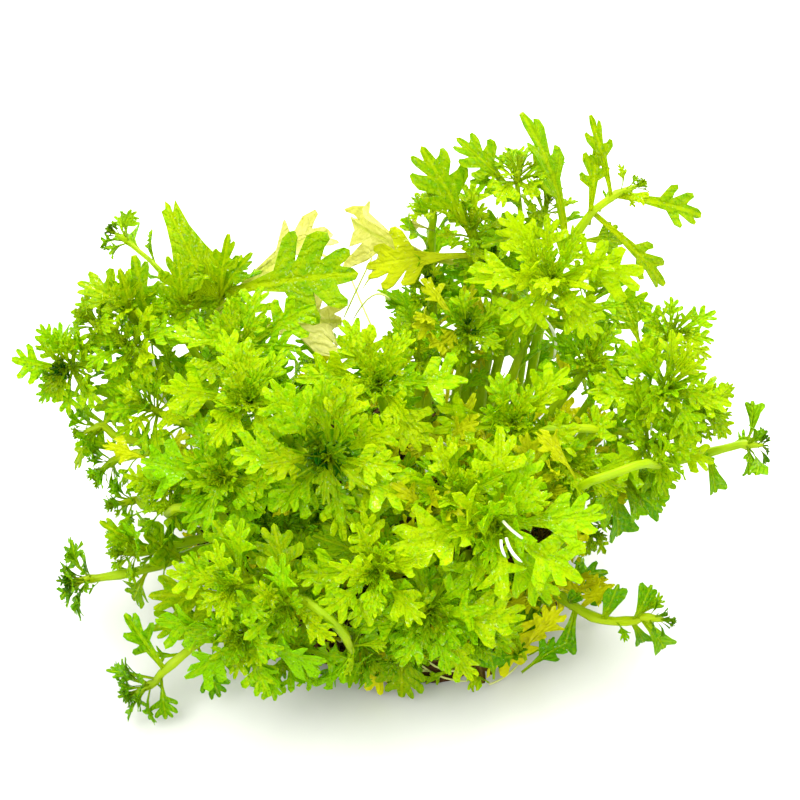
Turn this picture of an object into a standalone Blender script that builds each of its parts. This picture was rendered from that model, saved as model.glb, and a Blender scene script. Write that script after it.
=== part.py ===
"""Water violet: a picked bunch of leafy shoots that grow from one low root mass.

Every shoot is one solid: its stem, the single leaves along it and the rosette at its tip. Sizes are in
millimetres and become metres when a mesh is made. +Z is up and Z = 0 is the surface that the bunch rests on.
"""

import math

import bmesh
import bpy
from mathutils import Vector
from mathutils.bvhtree import BVHTree

MM = 0.001

# Size of the root mass
ROOT_HALF_LENGTH = 37.0
ROOT_HALF_DEPTH = 36.0
ROOT_HEIGHT = 15.0
ROOT_CENTRE = Vector((-6.0, -3.0, 0.0))

# Stems
STEM_RADIUS = 1.25
STEM_TIP_RADIUS = 0.8
STEM_SIDES = 4
FOOT_SHARE = 0.52

# Leaves
LEAF_HALF_THICKNESS = 0.5
STALK_HALF_WIDTH = 0.45
NARROW_BELOW = 0.46
HUB_RADIUS = 1.7
CLEARANCE = 0.4
TIP_ROOM = 4.5
LOWER_LEAF = 13.0
LOBED_ABOVE = 15.5
OUTER_LEAN = 18.0
HEART_LEAN = 52.0
GOLDEN_ANGLE = 137.5

# The view in which each tip is placed: 800 units wide and high, its middle on VIEW_TARGET
VIEW_ELEVATION = math.radians(42.0)
VIEW_DISTANCE = 444.0
VIEW_TARGET = Vector((-4.0, 17.9, 19.9))
VIEW_UNIT = 0.2
VIEW_MIDDLE = 400.0
VIEW_RIGHT = Vector((1.0, 0.0, 0.0))
VIEW_UP = Vector((0.0, math.sin(VIEW_ELEVATION), math.cos(VIEW_ELEVATION)))
VIEW_FORWARD = Vector((0.0, math.cos(VIEW_ELEVATION), -math.sin(VIEW_ELEVATION)))


def seen(across, down, height):
    """The point at this height that the view shows at this place."""
    eye = VIEW_TARGET - VIEW_FORWARD * VIEW_DISTANCE
    aim = VIEW_FORWARD * VIEW_DISTANCE
    aim += VIEW_RIGHT * (across - VIEW_MIDDLE) * VIEW_UNIT
    aim += VIEW_UP * (VIEW_MIDDLE - down) * VIEW_UNIT
    return eye + aim * ((height - eye.z) / aim.z)


def shoot(name, tip, leaf, arms, facing, via=None, turn=0.0, blades=(), foot=None, lower=0):
    """One shoot: where its tip is seen, its rosette's leaves by length and number, and its single leaves."""
    return {
        "name": "shoot_" + name,
        "tip": seen(*tip),
        "leaf": leaf,
        "arms": arms,
        "facing": Vector(facing).normalized(),
        "via": seen(*via) if via else None,
        "turn": turn,
        "blades": blades,
        "foot": Vector(foot) if foot else None,
        "lower": lower,
    }


def blade(along, tip, width=0.66, kind="green", roll=0.0, arch=0.10):
    """A single leaf: how far along its stem it grows, where its tip is seen, and its width for its length."""
    tip = seen(*tip)
    return {"along": along, "tip": tip, "width": width, "kind": kind, "roll": roll, "arch": arch}


SHOOTS = [
    # Back, from left to right
    shoot(
        "upper_left", (224, 282, 55), 9, 3, (0.1, -0.2, 1), via=(206, 332, 44), turn=200,
        blades=(
            blade(0.93, (165, 201, 65), 0.62, roll=-10),
            blade(0.99, (359, 274, 60), 0.64),
            blade(0.97, (229, 233, 68), 0.30),
            blade(0.95, (253, 252, 64), 0.30),
            blade(0.66, (341, 322, 34), 0.50, "pale", arch=0.16),
            blade(0.82, (330, 233, 46), 0.30, "pale", arch=0.22),
        ),
    ),
    shoot("left_curl", (119, 236, 57), 7, 4, (-0.7, 0.1, 0.6), via=(158, 268, 53)),
    shoot(
        "left_upright", (186, 303, 51), 10, 4, (0, -0.2, 1), via=(190, 345, 40),
        blades=(blade(0.95, (178, 253, 63), 0.50),),
    ),
    shoot(
        "left_fingers", (128, 312, 50), 11, 4, (-0.3, -0.3, 1), via=(160, 345, 40),
        blades=(
            blade(0.93, (77, 283, 55), 0.75),
            blade(0.97, (119, 268, 60), 0.40),
            blade(0.80, (134, 254, 61), 0.42),
        ),
    ),
    shoot("back_left", (176, 318, 34), 15, 5, (-0.5, 0.8, 0.4), lower=2),
    shoot("back_low_left", (225, 352, 17), 15, 5, (-0.4, 0.9, 0.25)),
    shoot(
        "back_notch", (322, 352, 20), 12, 3, (0.1, 1, 0.3),
        blades=(blade(0.90, (332, 342, 26), 0.55, "yellow"),),
    ),
    shoot(
        "fork", (433, 207, 61), 8, 4, (0, 0.2, 1), via=(431, 240, 52), lower=1,
        blades=(blade(0.93, (402, 222, 56), 0.55, "pale"),),
    ),
    shoot(
        "top_finger", (474, 231, 58), 12, 4, (-0.1, -0.2, 0.9), via=(466, 300, 42), lower=1,
        blades=(
            blade(0.97, (421, 146, 74), 0.46),
            blade(0.90, (366, 268, 48), 0.62, "lime"),
            blade(0.82, (352, 217, 48), 0.50, "pale", arch=0.18),
            blade(0.78, (458, 262, 44), 0.50, "pale"),
        ),
    ),
    shoot(
        "top_bud", (518, 174, 70), 11, 7, (0, 0.1, 1), via=(521, 240, 56), lower=2,
        blades=(
            blade(0.95, (456, 138, 76), 0.46),
            blade(0.92, (487, 186, 64), 0.40),
        ),
    ),
    shoot("top_small", (546, 206, 61), 10, 5, (0.2, -0.1, 1), lower=2),
    shoot(
        "arch_right", (632, 188, 65), 7, 3, (0.9, 0.2, 0.3), via=(592, 212, 62),
        blades=(
            blade(0.99, (701, 216, 57), 0.42),
            blade(0.88, (664, 286, 46), 0.34),
            blade(0.66, (519, 112, 80), 0.30, roll=40),
            blade(0.97, (590, 114, 80), 0.28),
            blade(0.84, (598, 138, 75), 0.34),
            blade(0.74, (622, 243, 52), 0.55),
        ),
    ),
    shoot("back_middle", (500, 292, 38), 15, 5, (0.1, 1, 0.4), lower=2),
    shoot("back_low_middle", (432, 326, 16), 15, 5, (0, 1, 0.25)),
    shoot("back_right", (588, 300, 38), 15, 5, (0.5, 0.9, 0.3), lower=2),
    shoot("back_low_right", (572, 356, 15), 15, 5, (0.5, 0.8, 0.3)),
    # Upper middle
    shoot(
        "top_rosette", (551, 281, 61), 18, 6, (0.05, -0.6, 0.8),
        blades=(
            blade(0.92, (499, 350, 44), 0.60),
            blade(0.90, (608, 350, 44), 0.50),
        ),
    ),
    shoot("dark_middle", (494, 262, 52), 12, 5, (-0.2, -0.5, 0.9)),
    shoot("bud_middle", (431, 288, 48), 8, 5, (-0.1, -0.3, 1)),
    shoot("gloss_middle", (468, 333, 49), 11, 5, (0, -0.5, 0.9)),
    shoot("bud_low_middle", (414, 352, 43), 8, 5, (-0.3, -0.4, 0.9)),
    shoot("left_gloss", (240, 348, 54), 16, 5, (-0.1, -0.5, 0.9)),
    shoot("left_centre", (252, 402, 52), 17, 6, (-0.1, -0.6, 0.8)),
    shoot("upper_centre", (380, 385, 54), 18, 6, (0, -0.6, 0.8)),
    # Left
    shoot("left_rosette", (69, 368, 43), 11.5, 7, (-0.25, -0.8, 0.5), via=(112, 368, 40)),
    shoot("left_high", (92, 322, 50), 9, 5, (-0.6, -0.2, 0.8)),
    shoot(
        "left_back", (131, 346, 47), 13, 5, (-0.3, -0.5, 0.8),
        blades=(blade(0.95, (106, 424, 34), 0.66),),
    ),
    shoot(
        "left_drop", (88, 431, 30), 8, 4, (-0.9, -0.2, -0.3), via=(125, 438, 29),
        blades=(blade(0.98, (76, 470, 20), 0.30),),
    ),
    shoot("left_droop", (104, 468, 23), 8.5, 5, (-0.8, -0.3, -0.5), via=(150, 452, 29)),
    shoot("left_small", (122, 503, 22), 7, 6, (-0.9, -0.4, 0.1), via=(162, 508, 23)),
    shoot(
        "left_small_rosette", (166, 488, 33), 10, 6, (-0.3, -0.7, 0.6),
        blades=(blade(0.85, (163, 462, 34), 0.85, "yellow"),),
    ),
    shoot("left_inner", (152, 408, 41), 14, 5, (-0.4, -0.4, 0.8)),
    shoot("left_middle", (226, 478, 43), 16, 6, (-0.2, -0.7, 0.7)),
    # Lower left
    shoot(
        "left_low", (80, 580, 18), 9.5, 7, (-1, -0.4, 0.25), via=(128, 573, 19),
        blades=(
            blade(0.45, (143, 535, 31), 0.62),
            blade(0.62, (134, 600, 10), 0.70),
        ),
    ),
    shoot(
        "left_fan", (127, 553, 25), 8, 5, (-0.7, -0.5, 0.5),
        blades=(
            blade(0.93, (99, 521, 31), 0.42),
            blade(0.80, (112, 540, 24), 0.42),
        ),
    ),
    shoot(
        "left_runner", (140, 690, 8), 9.5, 6, (-0.8, -0.5, -0.1), via=(190, 649, 13),
        blades=(
            blade(0.88, (124, 613, 22), 0.44, "dark"),
            blade(0.62, (220, 697, 3), 0.50, "dark"),
            blade(0.93, (166, 719, 2), 0.60, "dark"),
            blade(0.97, (106, 670, 9), 0.30, "dark"),
            blade(0.35, (150, 630, 18), 0.50),
            blade(0.25, (148, 596, 23), 0.50),
        ),
    ),
    shoot("front_left", (245, 632, 26), 17, 6, (-0.25, -0.9, 0.35)),
    shoot(
        "left_lobed", (236, 586, 36), 14, 4, (-0.3, -0.8, 0.5),
        blades=(blade(0.93, (213, 520, 46), 0.80),),
    ),
    shoot(
        "left_lobed_small", (286, 604, 34), 13, 4, (-0.1, -0.9, 0.4),
        blades=(
            blade(0.97, (274, 523, 45), 0.62),
            blade(0.80, (252, 552, 36), 0.55),
        ),
    ),
    shoot("front_left_low", (291, 652, 19), 13, 6, (-0.1, -0.95, 0.15)),
    # Front and centre
    shoot("centre_rosette", (330, 456, 50), 20, 7, (-0.05, -0.75, 0.66)),
    shoot(
        "front_middle", (378, 570, 38), 16, 5, (-0.1, -0.8, 0.6),
        blades=(
            blade(0.97, (367, 470, 50), 0.42),
            blade(0.70, (312, 536, 38), 0.55),
        ),
    ),
    shoot("front_low", (362, 646, 15), 14, 5, (0.5, -0.8, -0.3), via=(326, 606, 26)),
    shoot(
        "front_hanging", (402, 648, 13), 11, 3, (0, -0.95, -0.1),
        blades=(
            blade(0.97, (402, 697, 1.5), 0.70),
            blade(0.70, (366, 690, 1.5), 0.60, "yellow"),
        ),
    ),
    shoot("front_rosette", (431, 608, 29), 18, 6, (0, -0.9, 0.45)),
    shoot("centre_leafy", (462, 494, 46), 15, 6, (0, -0.75, 0.66)),
    shoot("front_bright", (494, 523, 42), 21, 6, (0.1, -0.8, 0.6)),
    shoot(
        "front_right_low", (474, 632, 18), 12, 4, (0.2, -0.9, 0.2),
        blades=(
            blade(0.70, (524, 662, 2.5), 0.75, "yellow"),
            blade(0.80, (483, 683, 2), 0.32, "brown"),
        ),
    ),
    shoot("centre_right", (510, 424, 47), 16, 5, (0.1, -0.6, 0.8)),
    # Right
    shoot("right_dark", (588, 366, 50), 12, 5, (0.2, -0.4, 0.9)),
    shoot(
        "right_high", (673, 335, 53), 10.5, 6, (0.4, -0.5, 0.75), via=(638, 347, 48),
        blades=(blade(0.85, (625, 303, 52), 0.72),),
    ),
    shoot("right_rosette", (666, 388, 50), 14.5, 7, (0.2, -0.7, 0.66)),
    shoot("right_edge", (701, 411, 42), 10, 6, (0.6, -0.6, 0.5)),
    shoot(
        "right_middle", (652, 444, 41), 16, 5, (0.4, -0.7, 0.6), via=(598, 428, 38),
        blades=(blade(0.93, (667, 496, 29), 0.62),),
    ),
    shoot(
        "far_right", (757, 445, 34), 8, 5, (1, -0.1, 0.05), via=(722, 449, 33),
        blades=(blade(0.80, (715, 493, 24), 0.30, "dark"),),
    ),
    shoot(
        "right_under", (628, 482, 29), 12, 4, (0.6, -0.6, 0.3),
        blades=(
            blade(0.96, (662, 512, 20), 0.26, "dark"),
            blade(0.90, (617, 536, 14), 0.32, "dark"),
        ),
    ),
    shoot("right_fold", (566, 462, 42), 14, 5, (0.2, -0.7, 0.7)),
    shoot(
        "right_hanging", (590, 528, 18), 10, 4, (0.5, -0.8, 0.1),
        blades=(
            blade(0.75, (573, 563, 10), 0.62, "yellow"),
            blade(0.60, (560, 612, 2.5), 0.50, "yellow"),
        ),
    ),
    shoot(
        "right_runner", (660, 619, 14), 5, 3, (1, -0.2, 0), via=(600, 619, 11), foot=(25, -27, 0),
        blades=(
            blade(0.16, (541, 572, 20), 0.50, "dark"),
            blade(0.22, (516, 640, 6), 0.42, "dark"),
            blade(0.40, (580, 592, 17), 0.46, "dark"),
            blade(0.45, (562, 652, 4), 0.46, "dark"),
            blade(0.64, (618, 583, 21), 0.50, "dark"),
            blade(0.92, (652, 584, 20), 0.46, "dark"),
            blade(0.86, (643, 642, 6), 0.44, "dark"),
            blade(0.98, (664, 648, 5), 0.50, "dark"),
        ),
    ),
]


def root_top(x, y):
    """Height of the root mass here: a low dome, squared off towards its rim."""
    across = (x - ROOT_CENTRE.x) / ROOT_HALF_LENGTH
    deep = (y - ROOT_CENTRE.y) / ROOT_HALF_DEPTH
    share = min(1.0, across**2 + deep**2)
    return ROOT_HEIGHT * (1 - share**1.6) ** 0.5


def lumps(angle, share):
    """The tangle's uneven surface, as a share of its size."""
    waves = math.sin(3 * angle + 5 * share) + math.sin(7 * angle - 9 * share + 1.0)
    return 1 + 0.035 * waves


def foot_of(plan, shift):
    """Where the stem leaves the root mass: towards its tip, but drawn in to the middle."""
    foot = (plan["foot"] or plan["tip"] * FOOT_SHARE) + shift
    across = (foot.x - ROOT_CENTRE.x) / (0.84 * ROOT_HALF_LENGTH)
    deep = (foot.y - ROOT_CENTRE.y) / (0.84 * ROOT_HALF_DEPTH)
    reach = max(1.0, math.hypot(across, deep))
    x = ROOT_CENTRE.x + (foot.x - ROOT_CENTRE.x) / reach
    y = ROOT_CENTRE.y + (foot.y - ROOT_CENTRE.y) / reach
    return Vector((x, y, root_top(x, y) * 1.07 + STEM_RADIUS + CLEARANCE))


def bezier(controls, t):
    """A point on the cubic curve through these four controls."""
    a, b, c, d = controls
    s = 1 - t
    return a * s**3 + b * 3 * s * s * t + c * 3 * s * t * t + d * t**3


def stem_curve(plan, facing, shift, sway):
    """The curve of a stem as one or two cubic pieces, its foot shifted and its middle swayed."""
    foot = foot_of(plan, shift)
    tip = plan["tip"]
    through = plan["via"]
    if through is None:
        length = (tip - foot).length
        rise = ((tip - foot).normalized() + Vector((0, 0, 0.5))).normalized()
        return [(foot, foot + rise * length * 0.4 + sway, tip - facing * length * 0.3 + sway * 0.4, tip)]
    first = (through - foot).length / 3
    last = (tip - through).length / 3
    outward = (tip - through).normalized()
    rise = ((through - foot).normalized() + Vector((0, 0, 0.5))).normalized()
    middle = ((through - foot).normalized() + outward).normalized()
    ending = (outward + facing * 0.5).normalized()
    return [
        (foot, foot + rise * first + sway, through - middle * first + sway * 0.4, through),
        (through, through + middle * last, tip - ending * last, tip),
    ]


def curve_point(pieces, t):
    """A point on a curve of one or two pieces, each with its share of the length."""
    if len(pieces) == 1:
        return bezier(pieces[0], t)
    lengths = [(piece[3] - piece[0]).length for piece in pieces]
    share = lengths[0] / sum(lengths)
    if t < share:
        return bezier(pieces[0], t / share)
    return bezier(pieces[1], (t - share) / (1 - share))


def frame_along(direction):
    """Two directions square to this one."""
    helper = Vector((0, 0, 1)) if abs(direction.z) < 0.9 else Vector((1, 0, 0))
    side = direction.cross(helper).normalized()
    return side, direction.cross(side).normalized()


def stem_rings(plan, swell=0.0):
    """The stem's cross-sections, tapering, from its foot to just below its rosette."""
    short = (plan["curve"][0][3] - plan["curve"][0][0]).length < SHORT_STEM
    segments = 4 if plan["via"] else 2 if short else 3
    centres = [curve_point(plan["curve"], i / segments) for i in range(segments)]
    centres = [centre for centre in centres if (plan["tip"] - centre).length > SHORTEST_END]
    centres.append(plan["tip"] + plan["facing"] * STEM_END)
    segments = len(centres) - 1
    side, up = frame_along((centres[1] - centres[0]).normalized())
    rings = []
    for i, centre in enumerate(centres):
        direction = (centres[min(i + 1, segments)] - centres[max(i - 1, 0)]).normalized()
        if i == segments:
            direction = plan["facing"]
        side = (side - direction * side.dot(direction)).normalized()
        up = direction.cross(side)
        radius = STEM_RADIUS + (STEM_TIP_RADIUS - STEM_RADIUS) * i / segments + swell
        ring = []
        for k in range(STEM_SIDES):
            angle = 2 * math.pi * k / STEM_SIDES
            ring.append(centre + (side * math.cos(angle) + up * math.sin(angle)) * radius)
        rings.append(ring)
    return rings


def stem_point(plan, along):
    """The middle of the stem at this share of its length."""
    centres = [sum(ring, Vector()) / STEM_SIDES for ring in plan["stem"]]
    place = min(along, 0.999) * (len(centres) - 1)
    i = int(place)
    return centres[i].lerp(centres[i + 1], place - i)


def tube(rings):
    """Points and faces of the rings joined one to the next, closed at the first ring only."""
    points = [point for ring in rings for point in ring]
    faces = [tuple(reversed(range(STEM_SIDES)))]
    for i in range(len(rings) - 1):
        for k in range(STEM_SIDES):
            a = i * STEM_SIDES + k
            b = i * STEM_SIDES + (k + 1) % STEM_SIDES
            faces.append((a, b, b + STEM_SIDES, a + STEM_SIDES))
    return points, faces


def capped(rings):
    """The stem by itself, as a closed tube."""
    points, faces = tube(rings)
    faces.append(tuple(range(len(points) - STEM_SIDES, len(points))))
    return points, faces


# Half a leaf's outline: share of its length, and share of its half width
LOBED_HALF = ((0.36, 0.16), (0.60, 1.0), (0.63, 0.44), (0.86, 0.76), (0.89, 0.30))
NARROW_HALF = ((0.62, 1.0), (0.86, 0.62))


def leaf_axes(base, tip, roll):
    """A leaf's own directions: along it, across it and out of its upper face, which looks at the view."""
    along = (tip - base).normalized()
    face = -VIEW_FORWARD + Vector((0, 0, 0.3))
    face = (face - along * face.dot(along)).normalized()
    across = face.cross(along)
    turn = math.radians(roll)
    across = across * math.cos(turn) + face * math.sin(turn)
    return along, across, along.cross(across)


def leaf_mesh(base, leaf, swell=0.0):
    """A single leaf as a closed solid: thin at its edge, thick along its midrib, arched along its length."""
    along, across, face = leaf_axes(base, leaf["tip"], leaf["roll"])
    length = (leaf["tip"] - base).length
    half = leaf["width"] * length / 2
    start = base - along * 0.3

    def place(share, side, lift):
        arch = leaf["arch"] * length * 4 * share * (1 - share)
        return start + along * (share * (length + swell + 0.3)) + across * side + face * (arch + lift)

    narrow = leaf["width"] < NARROW_BELOW
    edge = [(0.0, STALK_HALF_WIDTH)]
    edge += [(share, side * (half + swell)) for share, side in (NARROW_HALF if narrow else LOBED_HALF)]
    outline = [(share, -side) for share, side in edge]
    outline.append((1.0, 0.0))
    outline += reversed(edge)
    spine = (0.55,) if narrow else (0.48, 0.78)
    thick = LEAF_HALF_THICKNESS + swell
    points = [place(share, side, 0.0) for share, side in outline]
    points += [place(share, 0.0, thick) for share in spine]
    points += [place(share, 0.0, -thick) for share in spine]
    count = len(outline)
    turning = len(edge) // 2
    upper = []
    for i in range(count):
        after = (i + 1) % count
        far = not narrow and turning + 1 <= i < count - 2 - turning
        upper.append((i, after, count + 1 if far else count))
    if not narrow:
        upper.append((turning + 1, count + 1, count))
        upper.append((count - 2 - turning, count, count + 1))
    shift = len(spine)
    lower = [tuple(i + shift if i >= count else i for i in reversed(face)) for face in upper]
    return points, upper + lower


# One rosette leaf's outline: angle from its middle in degrees, and share of its length
LOBED_OUTLINE = ((-21.0, 0.68), (-8.0, 0.76), (0.0, 1.0), (8.0, 0.76), (21.0, 0.68))
SMALL_OUTLINE = ((-17.0, 0.78), (0.0, 1.0), (17.0, 0.78))
YOUNG_OUTLINE = ((0.0, 1.0),)

# Where the parts of a tip lie along the way it faces, from the tip of the stem
STEM_END = -3.2
WHORL_AT = -2.2
NECK_AT = -1.0
HEART_AT = 0.0
APEX_AT = 1.6


def arm_points(centre, facing, arm, outline, swell=0.0):
    """The edge of one rosette leaf, from side to side, each point with its angle round the stem."""
    side, up = frame_along(facing)
    angle, lean, length = arm
    tilt = math.radians(lean)
    points = []
    for offset, share in outline:
        turn = math.radians(angle + offset)
        out = side * math.cos(turn) + up * math.sin(turn)
        reach = length * share + swell
        points.append((angle + offset, centre + (out * math.cos(tilt) + facing * math.sin(tilt)) * reach))
    return points


def circle_points(centre, facing, angles, radius):
    """Points at these angles round the stem."""
    side, up = frame_along(facing)
    points = []
    for angle in angles:
        turn = math.radians(angle)
        points.append((angle, centre + (side * math.cos(turn) + up * math.sin(turn)) * radius))
    return points


def whorl(centre, facing, arms, outline, radius):
    """The edge of a whorl of leaves: each leaf's edge, then the point between it and the next."""
    ring = []
    for i, arm in enumerate(arms):
        after = arms[(i + 1) % len(arms)][0] + (360 if i + 1 == len(arms) else 0)
        ring += arm_points(centre, facing, arm, outline)
        ring += circle_points(centre, facing, [(arm[0] + after) / 2], radius)
    return ring


def from_lowest(ring):
    """The same ring, with every angle in one turn and the lowest first."""
    return sorted(((angle % 360, point) for angle, point in ring), key=lambda item: item[0])


def band(first, second):
    """Triangles between two rings, each a list of angles and point numbers that goes the same way round."""
    start = second[0][0] - 180 / len(first)
    first = sorted(((angle - start) % 360 + start, index) for angle, index in first)
    faces = []
    i = j = 0
    while i < len(first) or j < len(second):
        a = first[i % len(first)][1]
        b = second[j % len(second)][1]
        next_first = first[(i + 1) % len(first)]
        next_second = second[(j + 1) % len(second)]
        first_angle = next_first[0] + (360 if i + 1 >= len(first) else 0)
        second_angle = next_second[0] + (360 if j + 1 >= len(second) else 0)
        if j == len(second) or (i < len(first) and first_angle <= second_angle):
            faces.append((a, next_first[1], b))
            i += 1
        else:
            faces.append((a, next_second[1], b))
            j += 1
    return faces


def arm_mesh(centre, facing, arm, outline):
    """One rosette leaf by itself, a little larger than it is: it tries whether the leaf has room."""
    ring = [point for _, point in arm_points(centre, facing, arm, outline, CLEARANCE + 0.2)]
    edge = circle_points(centre, facing, (arm[0] - 45, arm[0] + 45), HUB_RADIUS)
    ring = [edge[0][1]] + ring + [edge[1][1]]
    front = centre + facing * (1.6 + CLEARANCE)
    back = centre - facing * (1.2 + CLEARANCE)
    last = len(ring) - 1
    front_at = len(ring)
    back_at = front_at + 1
    faces = [(i, i + 1, front_at) for i in range(last)]
    faces += [(i + 1, i, back_at) for i in range(last)]
    faces += [(front_at, back_at, 0), (front_at, last, back_at)]
    return ring + [front, back], faces


def shoot_mesh(plan):
    """Stem, outer whorl and heart as one closed solid."""
    facing = plan["facing"]
    tip = plan["tip"]
    points, faces = tube(plan["stem"])
    side, up = frame_along(facing)
    angles = []
    for point in plan["stem"][-1]:
        out = point - tip
        angles.append(math.degrees(math.atan2(out.dot(up), out.dot(side))) % 360)
    first_at = len(points) - STEM_SIDES
    below = [(angle, first_at + k) for k, angle in enumerate(angles)]
    rings = []
    for ring in (
        whorl(tip + facing * WHORL_AT, facing, plan["outer"], plan["outline"], HUB_RADIUS),
        circle_points(tip + facing * NECK_AT, facing, range(0, 360, 90), HUB_RADIUS * 0.7),
        whorl(tip + facing * HEART_AT, facing, plan["heart"], YOUNG_OUTLINE, HUB_RADIUS * 0.7),
    ):
        ring = from_lowest(ring)
        rings.append([(angle, len(points) + k) for k, (angle, _) in enumerate(ring)])
        points += [point for _, point in ring]
    outer, neck, heart = rings
    apex = len(points)
    points.append(tip + facing * APEX_AT)
    faces += band(below, outer) + band(outer, neck) + band(neck, heart)
    faces += [(heart[i][1], heart[(i + 1) % len(heart)][1], apex) for i in range(len(heart))]
    return points, faces


class Room:
    """What has been placed so far, so that no shoot passes through another."""

    def __init__(self):
        self.placed = []

    def add(self, owner, mesh):
        points, faces = mesh
        low = [min(p[i] for p in points) for i in range(3)]
        high = [max(p[i] for p in points) for i in range(3)]
        self.placed.append((owner, low, high, BVHTree.FromPolygons(points, faces)))

    def holds(self, own, mesh):
        """Whether this mesh clears the surface below and everything but its own shoot."""
        points, faces = mesh
        low = [min(p[i] for p in points) for i in range(3)]
        high = [max(p[i] for p in points) for i in range(3)]
        if low[2] < CLEARANCE:
            return False
        tree = BVHTree.FromPolygons(points, faces)
        for other, other_low, other_high, other_tree in self.placed:
            if other in own:
                continue
            if any(low[i] > other_high[i] or high[i] < other_low[i] for i in range(3)):
                continue
            if tree.overlap(other_tree):
                return False
        return True


def root_mesh(grow=0.0):
    """The root mass: a low uneven dome, flat below."""
    around, rings = 20, 4
    points = []
    for ring in range(rings):
        share = 1 - ring / rings
        for k in range(around):
            angle = 2 * math.pi * k / around
            reach = share * lumps(angle, share) + grow / ROOT_HALF_DEPTH
            x = ROOT_CENTRE.x + ROOT_HALF_LENGTH * reach * math.cos(angle)
            y = ROOT_CENTRE.y + ROOT_HALF_DEPTH * reach * math.sin(angle)
            height = 0.0 if ring == 0 else ROOT_HEIGHT * (1 - share**3.2) ** 0.5 * lumps(-angle, share)
            points.append(Vector((x, y, height)))
    points.append(Vector((ROOT_CENTRE.x, ROOT_CENTRE.y, ROOT_HEIGHT)))
    faces = [tuple(reversed(range(around)))]
    for ring in range(rings - 1):
        for k in range(around):
            a = ring * around + k
            b = ring * around + (k + 1) % around
            faces.append((a, b, b + around, a + around))
    top = rings * around
    faces += [(top - around + k, top - around + (k + 1) % around, top) for k in range(around)]
    return points, faces


SIDEWAYS = ((0, 0), (4, 0), (-4, 0), (0, 4), (0, -4), (7, 5), (-7, 5), (7, -5), (-7, -5))
SHIFTS = [Vector((x, y, 0)) for x, y in SIDEWAYS]
SWAYS = [Vector((x, y, z)) for z in (0, 4, -3, 8) for x, y in SIDEWAYS]
LARGEST_TURN = math.radians(50.0)
SHORTEST_END = 6.0
SHORT_STEM = 24.0


def faced(wanted, curve):
    """The way the rosette faces, brought near enough to the way its stem ends."""
    ending = (curve[-1][3] - curve[-1][2]).normalized()
    turn = wanted.angle(ending)
    if turn <= LARGEST_TURN:
        return wanted
    return wanted.slerp(ending, 1 - LARGEST_TURN / turn).normalized()


def place_lower(plan, room):
    """Older leaves further down the stem, wherever there is room."""
    own = {plan["name"] + end for end in ("", "_stem", "_low_stem", "_tip")}
    for k in range(plan["lower"]):
        along = 0.42 + 0.34 * k / max(1, plan["lower"] - 1)
        base = stem_point(plan, along)
        side, up = frame_along((stem_point(plan, along + 0.1) - base).normalized())
        for change in (0, 40, -40, 80, -80, 120, -120, 160):
            turn = math.radians(GOLDEN_ANGLE * k + change + plan["turn"])
            out = side * math.cos(turn) + up * math.sin(turn) + Vector((0, 0, 0.35))
            tip = base + out.normalized() * LOWER_LEAF
            tried = {"along": along, "tip": tip, "width": 0.44, "kind": "green", "roll": 0.0, "arch": 0.1}
            if room.holds(own, leaf_mesh(base, tried, CLEARANCE)):
                plan["leaves"].append(tried)
                room.add(plan["name"], leaf_mesh(base, tried))
                break


def tip_room(plan):
    """An eight-sided solid at a tip, kept free for the start of its rosette."""
    middle = plan["tip"] - plan["facing"] * 1.5
    steps = []
    for axis in range(3):
        for way in (1, -1):
            step = Vector()
            step[axis] = way * TIP_ROOM
            steps.append(step)
    faces = [(a, b, c) for a in (0, 1) for b in (2, 3) for c in (4, 5)]
    return [middle + step for step in steps], faces


def place_stem(plan, room):
    """Chooses the stem's curve: the first that passes through no other stem."""
    wanted = plan["facing"]
    own = {plan["name"], plan["name"] + "_tip"}
    for sway, shift in ((sway, shift) for sway in SWAYS for shift in SHIFTS):
        plan["curve"] = stem_curve(plan, wanted, shift, sway)
        plan["facing"] = faced(wanted, plan["curve"])
        plan["stem"] = stem_rings(plan)
        if room.holds(own, capped(stem_rings(plan, CLEARANCE))):
            break
    else:
        print(plan["name"], "passes through another stem")
    outline = LOBED_OUTLINE if plan["leaf"] > LOBED_ABOVE else SMALL_OUTLINE
    squeeze = min(1.0, (360 / plan["arms"] - 18) / 44)
    plan["outline"] = [(angle * squeeze, share) for angle, share in outline]
    room.add(plan["name"] + "_stem", capped(plan["stem"]))
    room.add(plan["name"] + "_low_stem", capped(plan["stem"][:-1]))


def place_blades(plan, room):
    """Keeps each single leaf that has room, turned a little where it needs it."""
    plan["leaves"] = []
    own = {plan["name"] + end for end in ("", "_stem", "_low_stem", "_tip")}
    for leaf in plan["blades"]:
        base = stem_point(plan, leaf["along"])
        for change in (0, 15, -15, 30, -30, 45, -45, 65, -65):
            tried = dict(leaf, roll=leaf["roll"] + change)
            if room.holds(own, leaf_mesh(base, tried, CLEARANCE)):
                plan["leaves"].append(tried)
                room.add(plan["name"], leaf_mesh(base, tried))
                break


def place_arms(plan, room, place, count, lean, length, start, outline, tilts):
    """The leaves of one whorl, each turned, tilted or shortened until it has room."""
    arms = []
    own = {plan["name"] + end for end in ("", "_stem", "_tip")}
    centre = plan["tip"] + plan["facing"] * place
    for k in range(count):
        angle = start + 360 * k / count
        wanted = length * (1 - 0.14 * ((k * 2) % 3))
        tries = [(t, u, s) for s in (1, 0.85, 0.7, 0.55, 0.4) for u in tilts for t in (0, 7, -7)]
        for turn, tilt, size in tries:
            arm = angle + turn, lean + tilt, wanted * size
            mesh = arm_mesh(centre, plan["facing"], arm, outline)
            if room.holds(own, mesh):
                arms.append(arm)
                room.add(plan["name"], mesh)
                break
    return arms


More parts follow.
